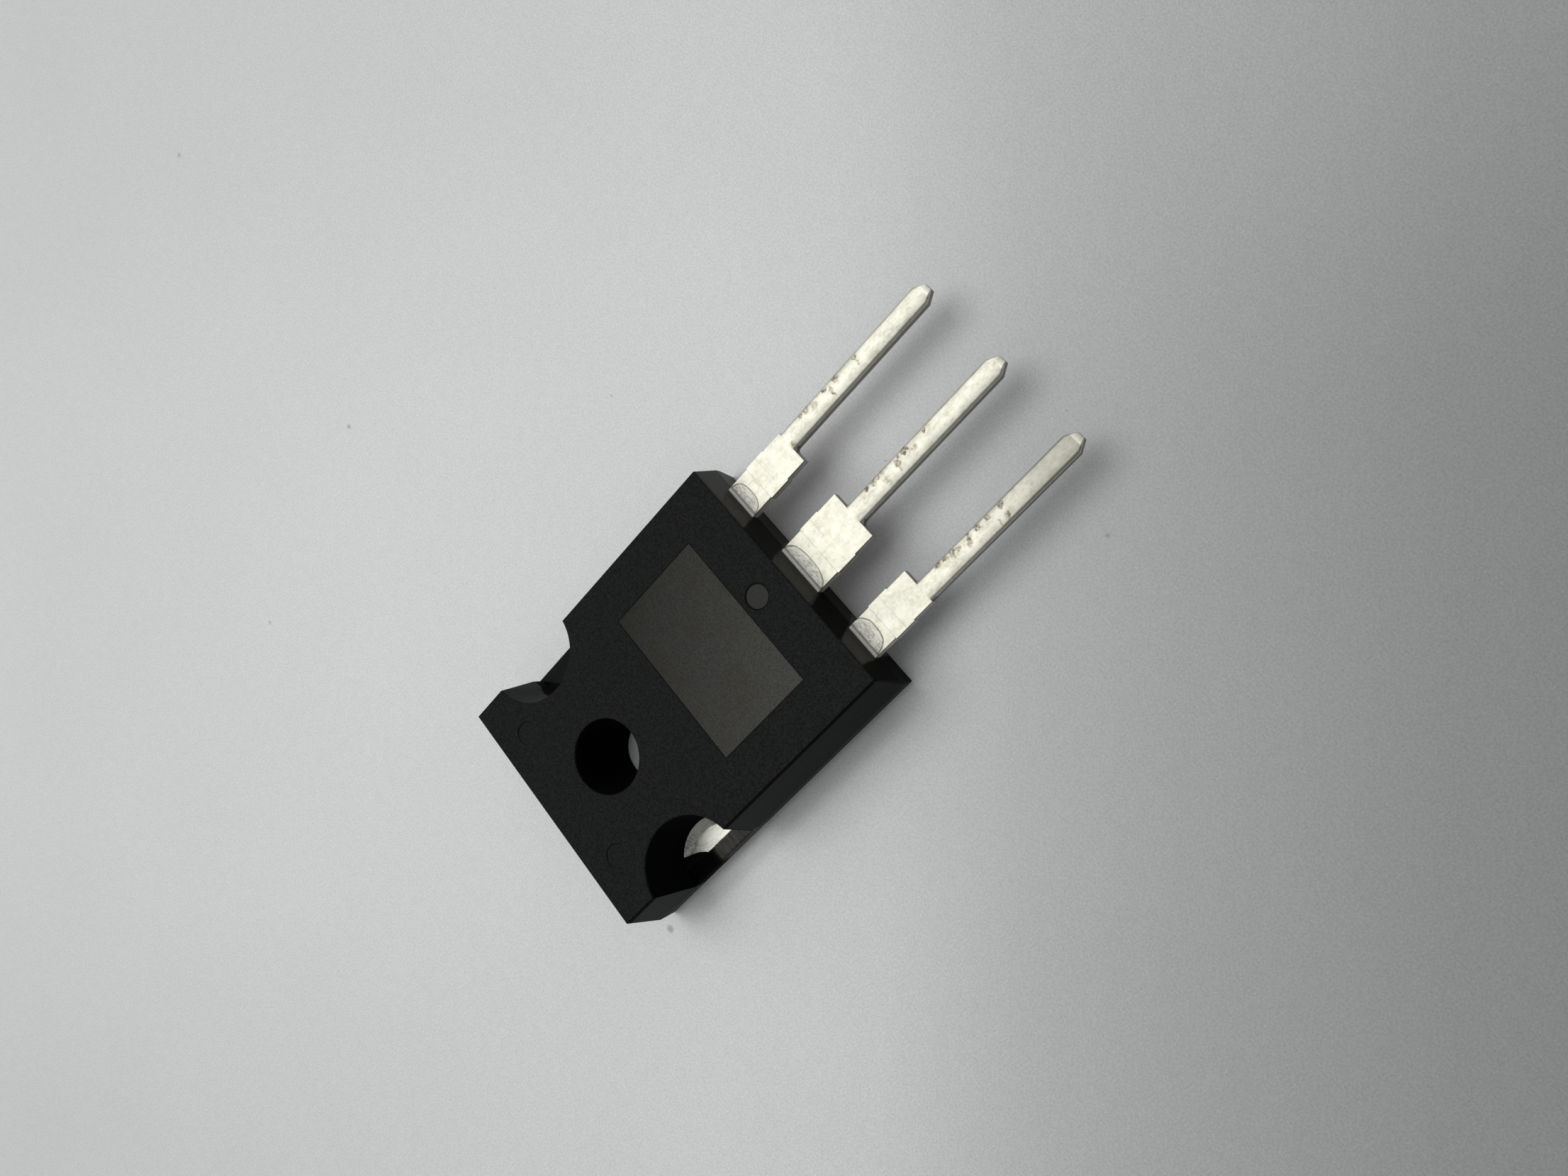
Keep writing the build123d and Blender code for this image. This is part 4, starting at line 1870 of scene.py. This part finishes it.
@dataclass
class Moulding:
    """Moulded body with its drafted walls, openings, marking places and lead slots."""

    openings: Openings
    front_inset_side: float = 0.45
    front_inset_lead_end: float = 0.16
    front_inset_hole_end: float = 0.35
    back_inset_side: float = 0.08
    back_inset_lead_end: float = 0.20
    rim: float = 0.045
    field_depth: float = 0.012
    disc_depth: float = 0.05
    ejector_depth: float = 0.03

    def _envelope(self) -> Workpiece:
        """Model a block whose walls lean as the mould's do.

        Returns:
            The block.
        """
        block = Workpiece.block(
            "moulding", (-SIZES.half_width, SIZES.lead_end, 0),
            (SIZES.half_width, SIZES.hole_end, SIZES.thickness),
        )
        rise = SIZES.thickness - SIZES.side_ridge
        share = (SIZES.end_ridge - SIZES.side_ridge) / rise
        near_share = 1 - SIZES.side_ridge / SIZES.end_ridge
        levels = (
            (0.0, self.back_inset_side, self.back_inset_lead_end, 0.0),
            (SIZES.side_ridge, 0.0, self.back_inset_lead_end * near_share, 0.0),
            (SIZES.end_ridge, self.front_inset_side * share, 0.0,
             self.front_inset_hole_end * share),
            (SIZES.thickness, self.front_inset_side, self.front_inset_lead_end,
             self.front_inset_hole_end),
        )
        block.open()
        for level in (SIZES.side_ridge, SIZES.end_ridge):
            block.cut((0, 0, level), (0, 0, 1))
        for level, side, near, far in levels:
            block.shift(lambda v: at(v.co.z, level) and v.co.y < SIZES.lead_end + CLOSE,
                        (0, near, 0))
            block.shift(lambda v: at(v.co.z, level) and v.co.y > SIZES.hole_end - CLOSE,
                        (0, -far, 0))
            factor = (SIZES.half_width - side) / SIZES.half_width
            block.stretch(lambda v: at(v.co.z, level), (factor, 1, 1), (0, 0, level))
        block.close()
        return block

    def _marks(self) -> list[Workpiece]:
        """Model the cutters for the marking field, the disc and the ejector pin marks.

        Returns:
            The cutters.
        """
        half, near, far = SIZES.marked
        face = SIZES.thickness
        above = face + 0.5
        rounds = [("disc", SIZES.disc, self.disc_depth)]
        rounds += [("ejector", mark, self.ejector_depth) for mark in SIZES.ejectors]
        made = [Workpiece.block("field", (-half, near, face - self.field_depth),
                                (half, far, above))]
        for name, (x, y, radius), depth in rounds:
            made.append(Workpiece.peg(name, radius, face - depth, above, (x, y), sides=64))
        return made

    def shape(self, *metal: Workpiece) -> Workpiece:
        """Model the moulding around the metal.

        Args:
            metal: Blanks of the pieces that lie in it.

        Returns:
            The moulding on the bench.
        """
        body = self._envelope()
        body.open()
        body.soften(lambda e: sharp_outer(e, EDGE_FOLD), self.rim, 3)
        body.close()
        body.carve(self.openings.hole(), self.openings.notch(-1), self.openings.notch(1))
        body.carve(self.openings.flare(), self.openings.flare_floor())
        body.carve(*self._marks())
        body.carve(*metal)
        body.open()
        body.weld(CLOSE / 2)
        body.pick(Part.EDGES, self._on_ridge)
        bpy.ops.mesh.mark_sharp()
        body.close()
        return body

    def _on_ridge(self, edge: bmesh.types.BMEdge) -> bool:
        """Say whether an edge belongs to a parting ridge.

        Args:
            edge: The edge.

        Returns:
            True if it does.
        """
        fold = edge.is_manifold and edge.calc_face_angle(0.0) > math.radians(RIDGE_FOLD)
        flat = at(edge.verts[0].co.z, edge.verts[1].co.z)
        level = edge.verts[0].co.z
        ridge = at(level, SIZES.side_ridge) or at(level, SIZES.end_ridge)
        return bool(fold and flat and ridge)


# -------------------------------------------------------------------------------- studio
@dataclass
class Studio:
    """Floor, soft light and camera."""

    lens: float = 26.857
    sensor: float = 36.0
    camera_place: Point = (-18.950, -31.357, 58.172)
    camera_right: Point = (-0.62117, -0.65671, -0.42764)
    camera_down: Point = (-0.72011, 0.69360, -0.01913)
    camera_forward: Point = (0.30918, 0.29607, -0.90375)
    key_direction: Point = (0.33, 0.16, 0.93)
    key_distance: float = 0.40
    key_radius: float = 0.165
    key_power: float = 0.65
    key_colour: Colour = (1.0, 0.995, 0.985)
    ambient: float = 0.27
    bright_side: Point = (0.80, 0.35, 0.48)
    dim: Colour = (0.42, 0.43, 0.45)
    bright: Colour = (1.58, 1.58, 1.56)
    floor_size: float = 1.6
    floor_level: float = -0.00001
    paper: PaperFinish = field(default_factory=PaperFinish)

    def camera(self) -> None:
        """Place the camera."""
        data = bpy.data.cameras.new("camera")
        data.lens = self.lens
        data.sensor_width = self.sensor
        data.sensor_fit = "HORIZONTAL"
        data.clip_start = 0.001
        data.clip_end = 10.0
        camera = bpy.data.objects.new("camera", data)
        turn = Matrix((self.camera_right, -Vector(self.camera_down),
                       -Vector(self.camera_forward))).transposed()
        camera.matrix_world = Matrix.Translation(Vector(self.camera_place) * MM) @ turn.to_4x4()
        bpy.context.scene.collection.objects.link(camera)
        bpy.context.scene.camera = camera

    def floor(self) -> None:
        """Lay the pale board under the part."""
        bpy.ops.object.select_all(action="DESELECT")
        bpy.ops.mesh.primitive_plane_add(
            size=self.floor_size, location=(0, 0, self.floor_level)
        )
        board = bpy.context.active_object
        board.name = "paper_board"
        bpy.ops.object.transform_apply(location=True, rotation=True, scale=True)
        board.data.materials.append(self.paper.material())

    def lights(self) -> None:
        """Hang one large soft lamp and set the room's light."""
        data = bpy.data.lights.new("key", "AREA")
        data.shape = "DISK"
        data.size = 2 * self.key_radius
        data.energy = self.key_power
        data.color = self.key_colour
        key = bpy.data.objects.new("key", data)
        direction = Vector(self.key_direction).normalized()
        key.location = direction * self.key_distance
        key.rotation_euler = direction.to_track_quat("Z", "Y").to_euler()
        bpy.context.scene.collection.objects.link(key)

        world = bpy.data.worlds.new("studio")
        world.use_nodes = True
        bpy.context.scene.world = world
        bench = ShaderBench(world.node_tree)
        toward = bench.node("ShaderNodeTexCoord", output="Generated")
        facing = toward.vector("DOT_PRODUCT", self.bright_side, output="Value")
        colour = bench.mix(facing.ease(-0.9, 1.0), self.dim, self.bright)
        back = bench.node("ShaderNodeBackground", sockets={"Color": colour,
                          "Strength": self.ambient})
        bench.node("ShaderNodeOutputWorld", sockets={"Surface": back})

    def build(self) -> None:
        """Set the whole stage."""
        self.camera()
        self.floor()
        self.lights()
        bpy.context.scene.view_settings.view_transform = "Standard"


def main() -> None:
    """Build the studio and the part, piece by piece."""
    logging.basicConfig(level=logging.INFO, format="%(name)s: %(message)s")
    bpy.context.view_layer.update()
    Studio().build()

    left_tin = TinFinish("lead_one_tin", -SIZES.lead_pitch, LEFT_STAINS, -4.98, 0.90, 1.06,
                         tip_shade_strength=0.55, scratches=LEFT_SCRATCHES)
    right_tin = TinFinish("lead_three_tin", SIZES.lead_pitch, RIGHT_STAINS, 5.05, 0.70, 1.0,
                          scratches=RIGHT_SCRATCHES)
    spreader_tin = SpreaderFinish("spreader_tin", 0.0, MIDDLE_STAINS, 0.0, 0.68, 1.48)
    epoxy = EpoxyFinish().material()

    openings = Openings()
    lead_one = OuterLead.on_side("lead_one", -1, left_tin)
    lead_three = OuterLead.on_side("lead_three", 1, right_tin)
    middle = Lead("middle_lead", 0.0, -1.525, 1.525,
                  root_half_width=spreader_tin.root_half_width,
                  root_reach=spreader_tin.root_reach)
    spreader = Spreader(openings, middle)

    moulding = Moulding(openings).shape(spreader.blank(), lead_one.shape(), lead_three.shape())

    finished = [
        moulding.finish("moulded_body", "epoxy_moulding", epoxy),
        spreader.shape().finish("tab_with_centre_lead", "tinned_copper",
                                spreader_tin.material(), METAL_SMOOTH),
        lead_one.shape().finish("outer_lead_1", "tinned_lead_left", left_tin.material(),
                                METAL_SMOOTH),
        lead_three.shape().finish("outer_lead_3", "tinned_lead_right", right_tin.material(),
                                  METAL_SMOOTH),
    ]
    for piece in finished:
        LOG.info("%s: %d faces", piece.name, len(piece.data.polygons))
        dress_node(piece["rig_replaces"][0], piece.data.materials[0])

    inner = {
        "solder_layer": InnerFinish("die_solder_finish", (0.62, 0.62, 0.60), (0.42, 0.42, 0.41),
                                    1.0, 0.38, 1.2),
        "diode_die": InnerFinish("silicon_finish", (0.20, 0.21, 0.23), (0.13, 0.135, 0.15),
                                 0.6, 0.18, 0.8),
        "bond_wire": InnerFinish("bond_aluminium_finish", (0.86, 0.86, 0.87),
                                 (0.70, 0.70, 0.71), 1.0, 0.28, 2.5),
    }
    for start, finish in inner.items():
        material = finish.material()
        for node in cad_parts:
            if node.startswith(start):
                dress_node(node, material)
                LOG.info("%s: finished as %s", node, finish.name)


if __name__ == "__main__":
    main()
